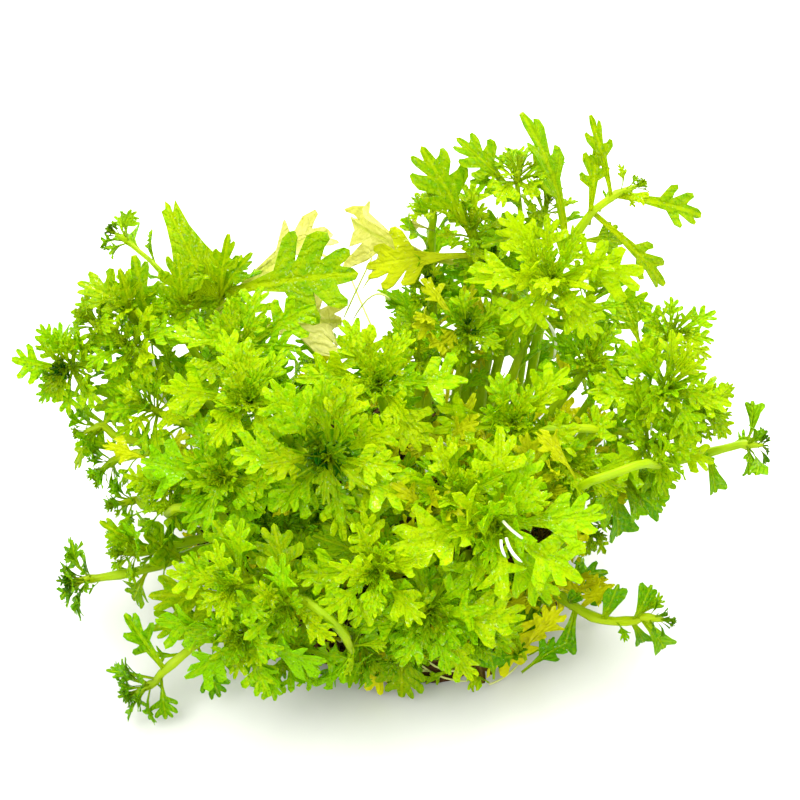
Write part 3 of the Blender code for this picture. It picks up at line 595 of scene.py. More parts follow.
def root_mesh(grow=0.0):
    """The root mass: a low uneven dome, flat below."""
    around, rings = 20, 4
    points = []
    for ring in range(rings):
        share = 1 - ring / rings
        for k in range(around):
            angle = 2 * math.pi * k / around
            reach = share * lumps(angle, share) + grow / ROOT_HALF_DEPTH
            x = ROOT_CENTRE.x + ROOT_HALF_LENGTH * reach * math.cos(angle)
            y = ROOT_CENTRE.y + ROOT_HALF_DEPTH * reach * math.sin(angle)
            dome = ROOT_HEIGHT * math.sqrt(1 - share ** (2 * DOME_SQUARE))
            height = 0.0 if ring == 0 else dome * lumps(-angle, share)
            points.append(Vector((x, y, height)))
    points.append(Vector((ROOT_CENTRE.x, ROOT_CENTRE.y, ROOT_HEIGHT)))
    faces = [tuple(reversed(range(around)))]
    for ring in range(rings - 1):
        faces += band(ring * around, around)
    top = rings * around
    faces += [(top - around + k, top - around + (k + 1) % around, top) for k in range(around)]
    return points, faces


print("corners of the tangle's stand-in:", len(root_mesh()[0]))

# %% [markdown]
# ## Room for stems and single leaves
#
# Each stem tries a few small shifts of its foot and its bend, and keeps the first that is free. Its
# single leaves follow. Short leaves low on the stem, where the list asks for them, take the room that is
# left at the end. The order is always the same, so the bunch is the same on every run.

# %% Placing stems and single leaves
SIDEWAYS = ((0, 0), (4, 0), (-4, 0), (0, 4), (0, -4), (7, 5), (-7, 5), (7, -5), (-7, -5))
SHIFTS = [Vector((x, y, 0)) for x, y in SIDEWAYS]
SWAYS = [Vector((x, y, z)) for z in (0, 4, -3, 8) for x, y in SIDEWAYS]
ROLLS = (0, 15, -15, 30, -30, 45, -45, 65, -65)
LOWEST_LEAF = 0.42
LOWER_SPREAD = 0.34
ARM_GAP = 18.0
FREE_SPREAD = 44.0
TIP_ROOM_BELOW = 1.5


def faced(wanted, curve):
    """The way the rosette faces, brought near enough to the way its stem ends."""
    ending = (curve[-1][3] - curve[-1][2]).normalized()
    turn = wanted.angle(ending)
    if turn <= LARGEST_TURN:
        return wanted
    return wanted.slerp(ending, 1 - LARGEST_TURN / turn).normalized()


def keep_leaf(plan, room, base, leaf):
    """Adds a single leaf to the plan if there is room for it, and says whether there was."""
    own = {plan["name"] + end for end in ("", "_stem", "_low_stem", "_tip")}
    free = room.holds(own, leaf_mesh(base, leaf, CLEARANCE))
    if free:
        plan["leaves"].append(leaf)
        room.add(plan["name"], leaf_mesh(base, leaf))
    return free


def place_lower(plan, room):
    """Older leaves further down the stem, wherever there is room."""
    for k in range(plan["lower"]):
        along = LOWEST_LEAF + LOWER_SPREAD * k / max(1, plan["lower"] - 1)
        base = stem_point(plan, along)
        ahead = (stem_point(plan, along + 0.1) - base).normalized()
        for change in (0, 40, -40, 80, -80, 120, -120, 160):
            out = spoke(ahead, GOLDEN_ANGLE * k + change + plan["turn"]) + Vector((0, 0, 0.35))
            tip = base + out.normalized() * LOWER_LEAF
            leaf = {"along": along, "tip": tip, "width": 0.44, "kind": "green", "roll": 0.0, "arch": 0.1}
            if keep_leaf(plan, room, base, leaf):
                break


def tip_room(plan):
    """An eight-sided solid at a tip, kept free for the start of its rosette."""
    middle = plan["tip"] - plan["facing"] * TIP_ROOM_BELOW
    steps = [row * way for row in Matrix.Identity(3) for way in (TIP_ROOM, -TIP_ROOM)]
    faces = [(a, b, c) for a in (0, 1) for b in (2, 3) for c in (4, 5)]
    return [middle + step for step in steps], faces


def place_stem(plan, room):
    """Chooses the stem's curve: the first that passes through no other stem."""
    wanted = plan["facing"]
    own = {plan["name"], plan["name"] + "_tip"}
    for sway, shift in ((sway, shift) for sway in SWAYS for shift in SHIFTS):
        plan["curve"] = stem_curve(plan, wanted, shift, sway)
        plan["facing"] = faced(wanted, plan["curve"])
        plan["stem"] = stem_rings(plan)
        if room.holds(own, capped(stem_rings(plan, CLEARANCE))):
            break
    else:
        print(plan["name"], "passes through another stem")
    outline = LOBED_OUTLINE if plan["leaf"] > LOBED_ABOVE else SMALL_OUTLINE
    squeeze = min(1.0, (360 / plan["arms"] - ARM_GAP) / FREE_SPREAD)
    plan["outline"] = [(angle * squeeze, share) for angle, share in outline]
    room.add(plan["name"] + "_stem", capped(plan["stem"]))
    room.add(plan["name"] + "_low_stem", capped(plan["stem"][:-1]))


def place_blades(plan, room):
    """Keeps each single leaf that has room, turned a little where it needs it."""
    plan["leaves"] = []
    for leaf in plan["blades"]:
        base = stem_point(plan, leaf["along"])
        for change in ROLLS:
            if keep_leaf(plan, room, base, dict(leaf, roll=leaf["roll"] + change)):
                break


print("shifts that a stem may try:", len(SHIFTS), "at its foot and", len(SWAYS), "in its bend")

# %% [markdown]
# ## Room for the rosettes
#
# The rosettes come after all stems and single leaves, because their leaves are short and there are many
# places for them. The outer leaves lie almost flat and the young ones of the heart stand up, as they do
# where a shoot still grows. Drawing lots for the places would be simpler, but large rosettes go first
# here, because they find room less easily.

# %% Placing the rosettes
HEART_TURN = 36
UNEVEN = 0.14
ARM_TURNS = (0, 7, -7)
ARM_SIZES = (1, 0.85, 0.7, 0.55, 0.4)


def place_arms(plan, room, place, count, lean, length, start, outline, tilts):
    """The leaves of one whorl, each turned, tilted or shortened until it has room."""
    arms = []
    own = {plan["name"] + end for end in ("", "_stem", "_tip")}
    centre = plan["tip"] + plan["facing"] * place
    for k in range(count):
        angle = start + 360 * k / count
        wanted = length * (1 - UNEVEN * ((k * 2) % 3))
        tries = [(turn, tilt, size) for size in ARM_SIZES for tilt in tilts for turn in ARM_TURNS]
        for turn, tilt, size in tries:
            arm = angle + turn, lean + tilt, wanted * size
            mesh = arm_mesh(centre, plan["facing"], arm, outline)
            if room.holds(own, mesh):
                arms.append(arm)
                room.add(plan["name"], mesh)
                break
    return arms


def place_rosette(plan, room):
    """The outer leaves of the rosette, a little below the tip."""
    plan["outer"] = place_arms(
        plan, room, WHORL_AT, plan["arms"], OUTER_LEAN, plan["leaf"], plan["turn"], plan["outline"],
        tilts=(0, -14, 8, -28),
    )


def place_heart(plan, room):
    """The young leaves at the very tip."""
    count = 4 if plan["leaf"] > LOBED_ABOVE else 3
    plan["heart"] = place_arms(
        plan, room, HEART_AT, count, HEART_LEAN, plan["leaf"] / 2, plan["turn"] + HEART_TURN, YOUNG_OUTLINE,
        tilts=(0, 8),
    )


def placed_shoots():
    """Places the stems, the single leaves, the rosettes and at last the lower leaves of all shoots."""
    room = Room()
    room.add("root_mass", root_mesh(CLEARANCE))
    for plan in SHOOTS:
        room.add(plan["name"] + "_tip", tip_room(plan))
    for step in (place_stem, place_blades):
        for plan in SHOOTS:
            step(plan, room)
    largest_first = sorted(SHOOTS, key=lambda plan: -plan["leaf"])
    for step in (place_heart, place_rosette, place_lower):
        for plan in largest_first:
            step(plan, room)
    return SHOOTS


placed = placed_shoots()
print("leaves in the outer whorls:", sum(len(plan["outer"]) for plan in placed))
print("single leaves with room:", sum(len(plan["leaves"]) for plan in placed))

# %% [markdown]
# ## Outlines of the leaves
#
# The real leaf narrows to a winged stalk and then splits into blunt fingers that point forward. Only a
# few numbers describe a finger: where its tip is, which way it points, how wide it is and where the notch
# after it lies. The finger's round end is an arc, so the outline needs no long list of points.

# %% Fingers along one side of a leaf
FINGER_STRETCH = 1.6


def round_end(tip, angle, width, steps):
    """The end of a finger from its back to its front, as points on a stretched arc."""
    turn = math.radians(angle)
    ahead = Vector((math.cos(turn), math.sin(turn))) * FINGER_STRETCH * width / 2
    outward = Vector((-math.sin(turn), math.cos(turn))) * width / 2
    points = []
    for k in range(steps + 1):
        around = math.radians(90 - 175 * k / steps)
        points.append(Vector(tip) - ahead * (1 - math.cos(around)) + outward * math.sin(around))
    return [point[:] for point in points]


def fingered_side(stalk, wing, fingers, steps):
    """One side of a leaf: the stalk, its wing, then each finger's round end and the notch after it."""
    side = [(0.0, 0.028), (stalk, 0.034), wing]
    for tip, angle, width, notch in fingers:
        side += round_end(tip, angle, width, steps)
        side.append(notch)
    return side


print("points round the end of a finger:", len(round_end((1, 0), 0, 0.1, 4)))

# %% [markdown]
# ## Eight forms of leaf
#
# Large leaves have three fingers on one side and two on the other, smaller ones have fewer, the youngest
# are simple spoons, and one large leaf is folded into a hood. The two sides always differ a little, as on
# every real leaf. One form with a slider would be shorter, but then all leaves would look like sisters.

# %% The outlines
BROAD_SIDES = (
    fingered_side(0.26, (0.45, 0.080), (
        ((0.64, 0.33), 50, 0.120, (0.600, 0.110)),
        ((0.84, 0.30), 40, 0.120, (0.775, 0.110)),
        ((0.97, 0.17), 26, 0.095, (0.890, 0.070)),
    ), 4),
    fingered_side(0.28, (0.52, 0.085), (
        ((0.74, 0.33), 46, 0.125, (0.705, 0.105)),
        ((0.92, 0.22), 34, 0.115, (0.865, 0.070)),
    ), 4),
)
FAN_SIDES = (
    fingered_side(0.30, (0.50, 0.060), (
        ((0.68, 0.27), 46, 0.100, (0.660, 0.085)),
        ((0.88, 0.22), 30, 0.105, (0.795, 0.060)),
    ), 3),
    fingered_side(0.34, (0.57, 0.065), (
        ((0.78, 0.27), 40, 0.110, (0.735, 0.075)),
        ((0.94, 0.15), 22, 0.090, (0.850, 0.045)),
    ), 3),
)
WEDGE_SIDES = (
    fingered_side(0.28, (0.46, 0.085), (
        ((0.70, 0.31), 46, 0.090, (0.690, 0.130)),
        ((0.86, 0.25), 34, 0.090, (0.810, 0.090)),
        ((0.97, 0.13), 20, 0.080, (0.890, 0.040)),
    ), 3),
    fingered_side(0.30, (0.50, 0.080), (
        ((0.77, 0.30), 42, 0.095, (0.745, 0.110)),
        ((0.93, 0.19), 28, 0.095, (0.860, 0.055)),
    ), 3),
)
FINGER_SIDES = (
    fingered_side(0.36, (0.60, 0.060), (
        ((0.78, 0.20), 38, 0.095, (0.730, 0.055)),
    ), 2),
    fingered_side(0.42, (0.68, 0.060), (
        ((0.88, 0.18), 30, 0.095, (0.800, 0.050)),
    ), 2),
)
SPEAR_SIDES = (
    fingered_side(0.24, (0.46, 0.055), (
        ((0.62, 0.19), 36, 0.090, (0.590, 0.070)),
        ((0.84, 0.16), 26, 0.090, (0.780, 0.055)),
    ), 3),
    fingered_side(0.26, (0.55, 0.060), (
        ((0.73, 0.19), 32, 0.095, (0.690, 0.060)),
        ((0.93, 0.10), 20, 0.070, (0.870, 0.040)),
    ), 3),
)
SPOON_SIDES = (
    [
        (0.0, 0.05), (0.28, 0.07), (0.52, 0.13), (0.72, 0.20), (0.86, 0.25), (0.95, 0.25), (0.98, 0.20),
        (0.94, 0.12),
    ],
    [(0.0, 0.05), (0.32, 0.07), (0.60, 0.13), (0.80, 0.19), (0.92, 0.20), (0.97, 0.16), (0.95, 0.09)],
)
HOOD_SIDES = (
    [
        (0.0, 0.04), (0.05, 0.22), (0.12, 0.44), (0.26, 0.36), (0.44, 0.27), (0.62, 0.18), (0.80, 0.12),
        (0.93, 0.10),
    ],
    [
        (0.0, 0.04), (0.08, 0.24), (0.18, 0.46), (0.32, 0.32), (0.52, 0.22), (0.72, 0.15), (0.97, 0.12),
        (0.88, 0.03),
    ],
)
BUD_SIDES = (
    [(0.0, 0.05), (0.45, 0.07), (0.78, 0.22), (0.76, 0.07)],
    [(0.0, 0.05), (0.55, 0.07), (0.88, 0.19), (0.84, 0.06)],
)
print("points in the broad leaf's outline:", sum(len(side) for side in BROAD_SIDES))

# %% [markdown]
# ## Leaf blanks
#
# One blank of each form is cut like a leaf from paper: a single flat face, split along its midrib and
# then given a thin wall, so that it is a closed body which light can pass through. Because each blank is
# copied hundreds of times, it has only a few dozen faces. A picture of a leaf on a card would be quicker,
# but it would have no fingers from the side.

# %% Cutting the blanks
LEAF_THICKNESS = 0.014  # of the leaf's length


def leaf_blank(name, sides, pieces, end_width, steps):
    """A leaf one unit long, its stalk at the origin and its tip on +X."""
    left, right = sides
    outline = left + round_end((1, 0), 0, end_width, steps) + [(x, -y) for x, y in reversed(right)]
    shape = bmesh.new()
    shape.faces.new([shape.verts.new((x, y, 0.0)) for x, y in outline])
    everything = shape.verts[:] + shape.edges[:] + shape.faces[:]
    cut = bmesh.ops.bisect_plane(shape, geom=everything, plane_co=(0, 0, 0), plane_no=(0, 1, 0))["geom_cut"]
    midrib = [item for item in cut if isinstance(item, bmesh.types.BMEdge)]
    bmesh.ops.subdivide_edges(shape, edges=midrib, cuts=pieces)
    bmesh.ops.triangulate(shape, faces=shape.faces)
    bmesh.ops.join_triangles(
        shape, faces=shape.faces, angle_face_threshold=math.pi, angle_shape_threshold=math.radians(100)
    )
    bmesh.ops.recalc_face_normals(shape, faces=shape.faces)
    bmesh.ops.solidify(shape, geom=shape.faces[:], thickness=LEAF_THICKNESS)
    bmesh.ops.recalc_face_normals(shape, faces=shape.faces)
    for face in shape.faces:
        face.smooth = True
    for edge in shape.edges:
        edge.smooth = edge.calc_face_angle() < math.radians(50)
    blank = bpy.data.meshes.new(name)
    shape.to_mesh(blank)
    half_width = max(abs(vert.co.y) for vert in shape.verts)
    shape.free()
    print(name, "faces:", len(blank.polygons), "half width:", round(half_width, 3))
    return blank, half_width


BROAD = leaf_blank("broad leaf", BROAD_SIDES, 5, 0.12, 4)
FAN = leaf_blank("fan leaf", FAN_SIDES, 2, 0.11, 3)
WEDGE = leaf_blank("wedge leaf", WEDGE_SIDES, 2, 0.09, 3)
FINGER = leaf_blank("finger leaf", FINGER_SIDES, 2, 0.11, 2)
SPEAR = leaf_blank("spear leaf", SPEAR_SIDES, 3, 0.10, 3)
SPOON = leaf_blank("spoon leaf", SPOON_SIDES, 3, 0.12, 3)
HOOD = leaf_blank("hooded leaf", HOOD_SIDES, 4, 0.08, 2)
BUD = leaf_blank("bud leaf", BUD_SIDES, 1, 0.12, 2)

# %% [markdown]
# ## Laying a leaf
#
# A living leaf arches over its length, folds up along its midrib and ripples at its edge. One function
# lays a copy of a blank from its stalk to its tip and bends it on the way. It also writes two attributes
# on every vertex: the place on the leaf, which the veins follow, and the look, which says how young the
# leaf is, how deep it lies and how pale it is. On rosette leaves the look also carries painted shade, in
# the heart, low in the bunch and on shoots that lie deep, and painted light on shoots in full light.

# %% Laying one leaf in a shoot
SIZE_UNIT = 20  # millimetres, the length of a leaf whose size counts as one
RIPPLES = 19
FAR_SIDE_LAG = 2.1


def new_shape():
    """An empty bmesh with the two attributes that the materials read."""
    shape = bmesh.new()
    shape.verts.layers.float_vector.new("place")
    shape.verts.layers.float_vector.new("look")
    return shape


def add_copy(shape, mesh, slot):
    """Adds a copy of a mesh in one material and returns the corners of the copy."""
    first = len(shape.verts)
    first_face = len(shape.faces)
    shape.from_mesh(mesh)
    shape.verts.ensure_lookup_table()
    shape.faces.ensure_lookup_table()
    for face in shape.faces[first_face:]:
        face.material_index = slot
    return shape.verts[first:]


def lay_leaf(
    shape, blank, base, tip, face, width, look, slot, arch=0.10, fold=0.35, ripple=0.10, twist=0.0, phase=0.0
):
    """Lays a copy of a blank from base to tip, its upper side towards face, and bends it."""
    mesh, half_width = blank
    corners = add_copy(shape, mesh, slot)
    place_layer = shape.verts.layers.float_vector["place"]
    look_layer = shape.verts.layers.float_vector["look"]
    along = tip - base
    length = along.length
    along = along / length
    face = (face - along * face.dot(along)).normalized()
    across = face.cross(along)
    widen = width / (2 * half_width)
    for vert in corners:
        x, y, z = vert.co
        edge = abs(y) * widen
        height = fold * edge * (1 - 0.5 * x) + z
        height += ripple * edge * math.sin(RIPPLES * x + phase + (FAR_SIDE_LAG if y > 0 else 0.0))
        turn = twist * x
        side = y * widen * math.cos(turn) - height * math.sin(turn)
        height = y * widen * math.sin(turn) + height * math.cos(turn) + arch * 4 * x * (1 - x)
        vert.co = base + (along * x + across * side + face * height) * length
        vert[place_layer] = (x, y, length / SIZE_UNIT)
        vert[look_layer] = look


print("attributes on every vertex:", list(new_shape().verts.layers.float_vector.keys()))

# %% [markdown]
# ## Drawing a stem
#
# The stem is a soft round tube that thins towards its tip. It starts as one small disc, which is extruded
# from centre to centre along the curve, turned to follow it and scaled to the new thickness. A curve
# object with a bevel would give the same tube, but without the attributes that the materials read.

# %% A tube drawn out along its centres
def draw_tube(shape, centres, radii, sides, look, slot=0):
    """A closed tube drawn out ring by ring along these centres."""
    tube = bmesh.new()
    last = len(centres) - 1
    ways = [(centres[min(i + 1, last)] - centres[max(i - 1, 0)]).normalized() for i in range(last + 1)]
    upright = Vector((0, 0, 1)).rotation_difference(ways[0]).to_matrix().to_4x4()
    start = Matrix.Translation(centres[0]) @ upright
    bmesh.ops.create_circle(tube, cap_ends=True, segments=sides, radius=radii[0], matrix=start)
    tube.faces.ensure_lookup_table()
    cap = tube.faces[0]
    rings = [list(cap.verts)]
    for i in range(1, last + 1):
        made = bmesh.ops.extrude_face_region(tube, geom=[cap])["geom"]
        if i > 1:
            bmesh.ops.delete(tube, geom=[cap], context="FACES_ONLY")
        cap = next(item for item in made if isinstance(item, bmesh.types.BMFace))
        turn = ways[i - 1].rotation_difference(ways[i]).to_matrix().to_4x4()
        grow = Matrix.Scale(radii[i] / radii[i - 1], 4)
        move = Matrix.Translation(centres[i]) @ turn @ grow @ Matrix.Translation(-centres[i - 1])
        bmesh.ops.transform(tube, matrix=move, verts=list(cap.verts))
        rings.append(list(cap.verts))
    bmesh.ops.recalc_face_normals(tube, faces=tube.faces)
    for face in tube.faces:
        face.smooth = True
    where = {vert: (i / last, k / sides, 0.0) for i, ring in enumerate(rings) for k, vert in enumerate(ring)}
    places = [where[vert] for vert in tube.verts]
    mesh = bpy.data.meshes.new("tube")
    tube.to_mesh(mesh)
    tube.free()
    place_layer = shape.verts.layers.float_vector["place"]
    look_layer = shape.verts.layers.float_vector["look"]
    for vert, place in zip(add_copy(shape, mesh, slot), places):
        vert[place_layer] = place
        vert[look_layer] = look
    bpy.data.meshes.remove(mesh)


test_shape = new_shape()
draw_tube(test_shape, [Vector((0, 0, z)) for z in range(4)], [1.0] * 4, 8, (0, 0, 0))
print("faces of a test tube with four rings:", len(test_shape.faces))
test_shape.free()

# %% [markdown]
# ## Patterns that several materials share
#
# A leaf is not one green: the midrib and side veins are paler, the tissue between them is mottled, young
# leaves are darker, and painted shade and painted light lie over some of them. One node group reads the
# two attributes and hands out a colour and a height, and each leaf material feeds it its own colours.
# Groups hand out only colours and values, and the shaders stay in the materials, which keeps them easy to
# swap.

# %% Small helpers for node trees
def add_node(tree, kind, **values):
    """A node with its properties set."""
    node = tree.nodes.new(kind)
    for name, value in values.items():
        setattr(node, name, value)
    return node


def math_node(tree, operation, first, second=None, clamp=False):
    """One sum: each term is a number or another node's output."""
    node = add_node(tree, "ShaderNodeMath", operation=operation, use_clamp=clamp)
    for socket, term in zip(node.inputs, (first, second)):
        if isinstance(term, (int, float)):
            socket.default_value = term
        elif term is not None:
            tree.links.new(term, socket)
    return node.outputs[0]


def range_node(tree, value, low, high, to_low=0.0, to_high=1.0):
    """A smooth step of a value from one range to another."""
    node = add_node(tree, "ShaderNodeMapRange", interpolation_type="SMOOTHSTEP")
    tree.links.new(value, node.inputs["Value"])
    for socket, limit in (("From Min", low), ("From Max", high), ("To Min", to_low), ("To Max", to_high)):
        node.inputs[socket].default_value = limit
    return node.outputs["Result"]


def mix_node(tree, share, first, second):
    """A mix of two colours, each a colour or another node's output."""
    node = add_node(tree, "ShaderNodeMix", data_type="RGBA")
    tree.links.new(share, node.inputs["Factor"])
    for socket, colour in ((node.inputs["A"], first), (node.inputs["B"], second)):
        if isinstance(colour, tuple):
            socket.default_value = (*colour, 1.0)
        else:
            tree.links.new(colour, socket)
    return node.outputs["Result"]


def noise_node(tree, where, scale, detail=3.0):
    """Noise at so many cycles to the metre."""
    node = add_node(tree, "ShaderNodeTexNoise")
    tree.links.new(where, node.inputs["Vector"])
    node.inputs["Scale"].default_value = scale
    node.inputs["Detail"].default_value = detail
    return node.outputs["Fac"]


def add_share(tree, total, value, share):
    """A total with a share of another value added."""
    return math_node(tree, "ADD", total, math_node(tree, "MULTIPLY", value, share))


def read_attribute(tree, name):
    """The three parts of an attribute that every vertex carries."""
    attribute = add_node(tree, "ShaderNodeAttribute", attribute_name=name)
    parts = add_node(tree, "ShaderNodeSeparateXYZ")
    tree.links.new(attribute.outputs["Vector"], parts.inputs[0])
    return parts.outputs


def new_group(name, colours, numbers):
    """A shader node group with colour and number inputs, and a Color and a Height output."""
    group = bpy.data.node_groups.new(name, "ShaderNodeTree")
    sockets = [(socket, "INPUT", "Color") for socket in colours]
    sockets += [(socket, "INPUT", "Float") for socket in numbers]
    sockets += [("Color", "OUTPUT", "Color"), ("Height", "OUTPUT", "Float")]
    for socket, way, kind in sockets:
        group.interface.new_socket(socket, in_out=way, socket_type="NodeSocket" + kind)
    return group, group.nodes.new("NodeGroupInput"), group.nodes.new("NodeGroupOutput")


helpers = (math_node, range_node, mix_node, noise_node, add_share, read_attribute)
print("helpers for node trees:", [helper.__name__ for helper in helpers])

# %% [markdown]
# ## Veins and furrows
#
# A paler midrib runs up each leaf and side veins leave it at a slant. Finer furrows fan out from the
# stalk, which gives the real leaf its crimped look. Both are folded waves of the place on the leaf, bent
# a little by noise, so they follow every leaf, however it is turned or curled. A painted picture would
# need unwrapping for each form.

# %% Veins and furrows of a leaf
SIDE_VEINS = 7.0
RIDGES = 9.0
MIDRIB_CORE = 0.008  # from the leaf's middle line, in leaf lengths
MIDRIB_EDGE = 0.030
VEIN_SLANT = -0.85
FAN_START = 0.12  # how far behind the stalk's foot the furrows would meet


def leaf_veins(tree, spot, mottle):
    """The midrib with its slanting side veins, and the tissue between them."""
    away = math_node(tree, "ABSOLUTE", spot["Y"])
    midrib = range_node(tree, away, MIDRIB_CORE, MIDRIB_EDGE, 1.0, 0.0)
    slant = add_share(tree, add_share(tree, spot["X"], away, VEIN_SLANT), mottle, 0.05)
    wave = math_node(tree, "PINGPONG", math_node(tree, "MULTIPLY", slant, SIDE_VEINS), 0.5)
    side_vein = range_node(tree, wave, 0.0, 0.12, 0.55, 0.0)
    side_vein = math_node(tree, "MULTIPLY", side_vein, range_node(tree, away, 0.02, 0.26, 1.0, 0.3))
    return math_node(tree, "MAXIMUM", midrib, side_vein), range_node(tree, wave, 0.10, 0.5)


def leaf_furrows(tree, spot, mottle):
    """Fine furrows that fan out from the stalk."""
    fan = math_node(tree, "DIVIDE", spot["Y"], math_node(tree, "ADD", spot["X"], FAN_START))
    fan = add_share(tree, fan, mottle, 0.35)
    ridge = math_node(tree, "PINGPONG", math_node(tree, "MULTIPLY", fan, RIDGES), 0.5)
    return range_node(tree, ridge, 0.05, 0.40, 1.0, 0.0)


print("side veins along a leaf:", SIDE_VEINS, "and furrows across it:", RIDGES)

# %% [markdown]
# ## The colour and relief of a leaf
#
# Three noises of different size mottle the tissue; the finest gives dark specks and also painted
# highlights, tiny near-white specks in the colour. Young leaves go darker, with painted shade in the
# rosettes' hearts, and stalks paler. The group adds it all up in two totals, one for the colour and one
# for the relief. Two pictures of a leaf, one for each, would show the same patches on all.

# %% The leaf pattern
MOTTLE_PER_METRE = 320.0
GRAIN_PER_METRE = 1600.0
SPECKS_PER_METRE = 2600.0
PATCH_MIDDLE = 1.025  # what the mottle, grain and furrows add to the colour's total on average
# Colour of the painted highlights: tiny near-white specks painted into the leaf colour.
PAINTED_GLINT = (0.85, 0.95, 0.55)


def leaf_colour(group, given, spot, mood, deep, vein, fine):
    """The four colours mixed by age and painted shade, place and painted light, veins, specks and painted
    highlights.
    """
    colour = mix_node(group, deep, given["Blade"], given["Deep"])
    speck = math_node(group, "MULTIPLY", range_node(group, fine, 0.50, 0.72, 0.0, 0.5), given["Specks And Painted Glints"])
    # Painted shade: the look's first part, young leaves and the shade in a rosette's heart, and the dark
    # specks mix towards the young colour.
    colour = mix_node(group, math_node(group, "MAXIMUM", mood["X"], speck), colour, given["Young And Painted Shade"])
    stalk = range_node(group, spot["X"], 0.15, 0.60, 0.75, 0.0)
    # Painted light: the look's third part pales the leaves of shoots in full light towards the vein colour, as
    # stalks are.
    colour = mix_node(group, math_node(group, "MAXIMUM", stalk, mood["Z"]), colour, given["Vein"])
    colour = mix_node(group, math_node(group, "MULTIPLY", vein, given["Vein Share"]), colour, given["Vein"])
    # Painted highlights: where the finest noise is lowest, the colour is mixed towards a near-white.
    painted_glint = math_node(group, "MULTIPLY", range_node(group, fine, 0.30, 0.24), given["Specks And Painted Glints"])
    return mix_node(group, painted_glint, colour, PAINTED_GLINT)


def make_leaf_pattern():
    """A node group that gives a leaf's colour and relief."""
    colours = ("Blade", "Deep", "Young And Painted Shade", "Vein")
    group, given, made = new_group("leaf pattern", colours, ("Vein Share", "Specks And Painted Glints"))
    spot = read_attribute(group, "place")
    mood = read_attribute(group, "look")
    where = add_node(group, "ShaderNodeTexCoord").outputs["Object"]
    mottle = noise_node(group, where, MOTTLE_PER_METRE)
    grain = noise_node(group, where, GRAIN_PER_METRE, 2.0)
    fine = noise_node(group, where, SPECKS_PER_METRE, 3.0)
    vein, between = leaf_veins(group, spot, mottle)
    furrow = leaf_furrows(group, spot, mottle)
    # The look's second part holds painted shade on rosette leaves, low in the bunch and in shoots that lie
    # deep.
    deep = mood["Y"]
    for value, share in ((mottle, 0.7), (between, 0.35), (grain, 1.0), (furrow, 0.35)):
        deep = add_share(group, deep, value, share)
    deep = math_node(group, "SUBTRACT", deep, PATCH_MIDDLE, clamp=True)
    colour = leaf_colour(group, given.outputs, spot, mood, deep, vein, fine)
    group.links.new(colour, made.inputs["Color"])
    height = mottle
    for value, share in ((vein, -0.8), (between, 0.4), (furrow, -0.7), (grain, 0.5)):
        height = add_share(group, height, value, share)
    group.links.new(height, made.inputs["Height"])
    return group


LEAF_PATTERN = make_leaf_pattern()
print("leaf pattern nodes:", len(LEAF_PATTERN.nodes))

# %% [markdown]
# ## Leaf materials
#
# Sunlight shines through these thin leaves, which is why they glow lime. A Principled shader gives the
# surface and its soft gloss, a Translucent shader lets the light through, and the two are mixed. Green,
# yellow, cream and brown leaves use the same recipe with other colours, as on the real plant, where a
# leaf only changes its pigment.

# %% Making the leaf materials
GLOSS_PER_METRE = 1900.0
LEAF_ROUGHNESS = 0.5
LEAF_SPECULAR = 0.05
COAT_ROUGHNESS = 0.10
RELIEF_STRENGTH = 0.9
RELIEF_METRES = 0.0003


def new_material(name, colour, roughness, specular):
    """A Principled material, its tree and its shader."""
    material = bpy.data.materials.new(name)
    material.use_nodes = True
    material.diffuse_color = (*colour, 1.0)
    tree = material.node_tree
    shader = tree.nodes["Principled BSDF"]
    shader.inputs["Roughness"].default_value = roughness
    shader.inputs["Specular IOR Level"].default_value = specular
    return material, tree, shader


def add_bump(tree, shader, height, strength, distance):
    """Height felt by the light, in metres of relief."""
    bump = add_node(tree, "ShaderNodeBump")
    bump.inputs["Strength"].default_value = strength
    bump.inputs["Distance"].default_value = distance
    tree.links.new(height, bump.inputs["Height"])
    tree.links.new(bump.outputs["Normal"], shader.inputs["Normal"])


def let_light_through(tree, shader, colour, share):
    """Mixes in a translucent layer."""
    glow = add_node(tree, "ShaderNodeBsdfTranslucent")
    tree.links.new(colour, glow.inputs["Color"])
    mix = add_node(tree, "ShaderNodeMixShader")
    mix.inputs["Fac"].default_value = share
    tree.links.new(shader.outputs["BSDF"], mix.inputs[1])
    tree.links.new(glow.outputs["BSDF"], mix.inputs[2])
    tree.links.new(mix.outputs["Shader"], tree.nodes["Material Output"].inputs["Surface"])


def leaf_material(name, blade, deep, young, vein, through=0.5, vein_share=0.5, specks=0.0):
    """A leaf's material from its four colours."""
    material, tree, shader = new_material(name, blade, LEAF_ROUGHNESS, LEAF_SPECULAR)
    pattern = add_node(tree, "ShaderNodeGroup", node_tree=LEAF_PATTERN)
    for socket, colour in (("Blade", blade), ("Deep", deep), ("Young And Painted Shade", young), ("Vein", vein)):
        pattern.inputs[socket].default_value = (*colour, 1.0)
    pattern.inputs["Vein Share"].default_value = vein_share
    # This value sets both the dark specks and the painted highlights.
    pattern.inputs["Specks And Painted Glints"].default_value = specks
    tree.links.new(pattern.outputs["Color"], shader.inputs["Base Color"])
    where = add_node(tree, "ShaderNodeTexCoord").outputs["Object"]
    gloss = range_node(tree, noise_node(tree, where, GLOSS_PER_METRE, 1.0), 0.60, 0.68)
    tree.links.new(gloss, shader.inputs["Coat Weight"])
    shader.inputs["Coat Roughness"].default_value = COAT_ROUGHNESS
    add_bump(tree, shader, pattern.outputs["Height"], RELIEF_STRENGTH, RELIEF_METRES)
    let_light_through(tree, shader, pattern.outputs["Color"], through)
    return material


print("translucent leaf materials follow, glossy patches at", GLOSS_PER_METRE, "to the metre")
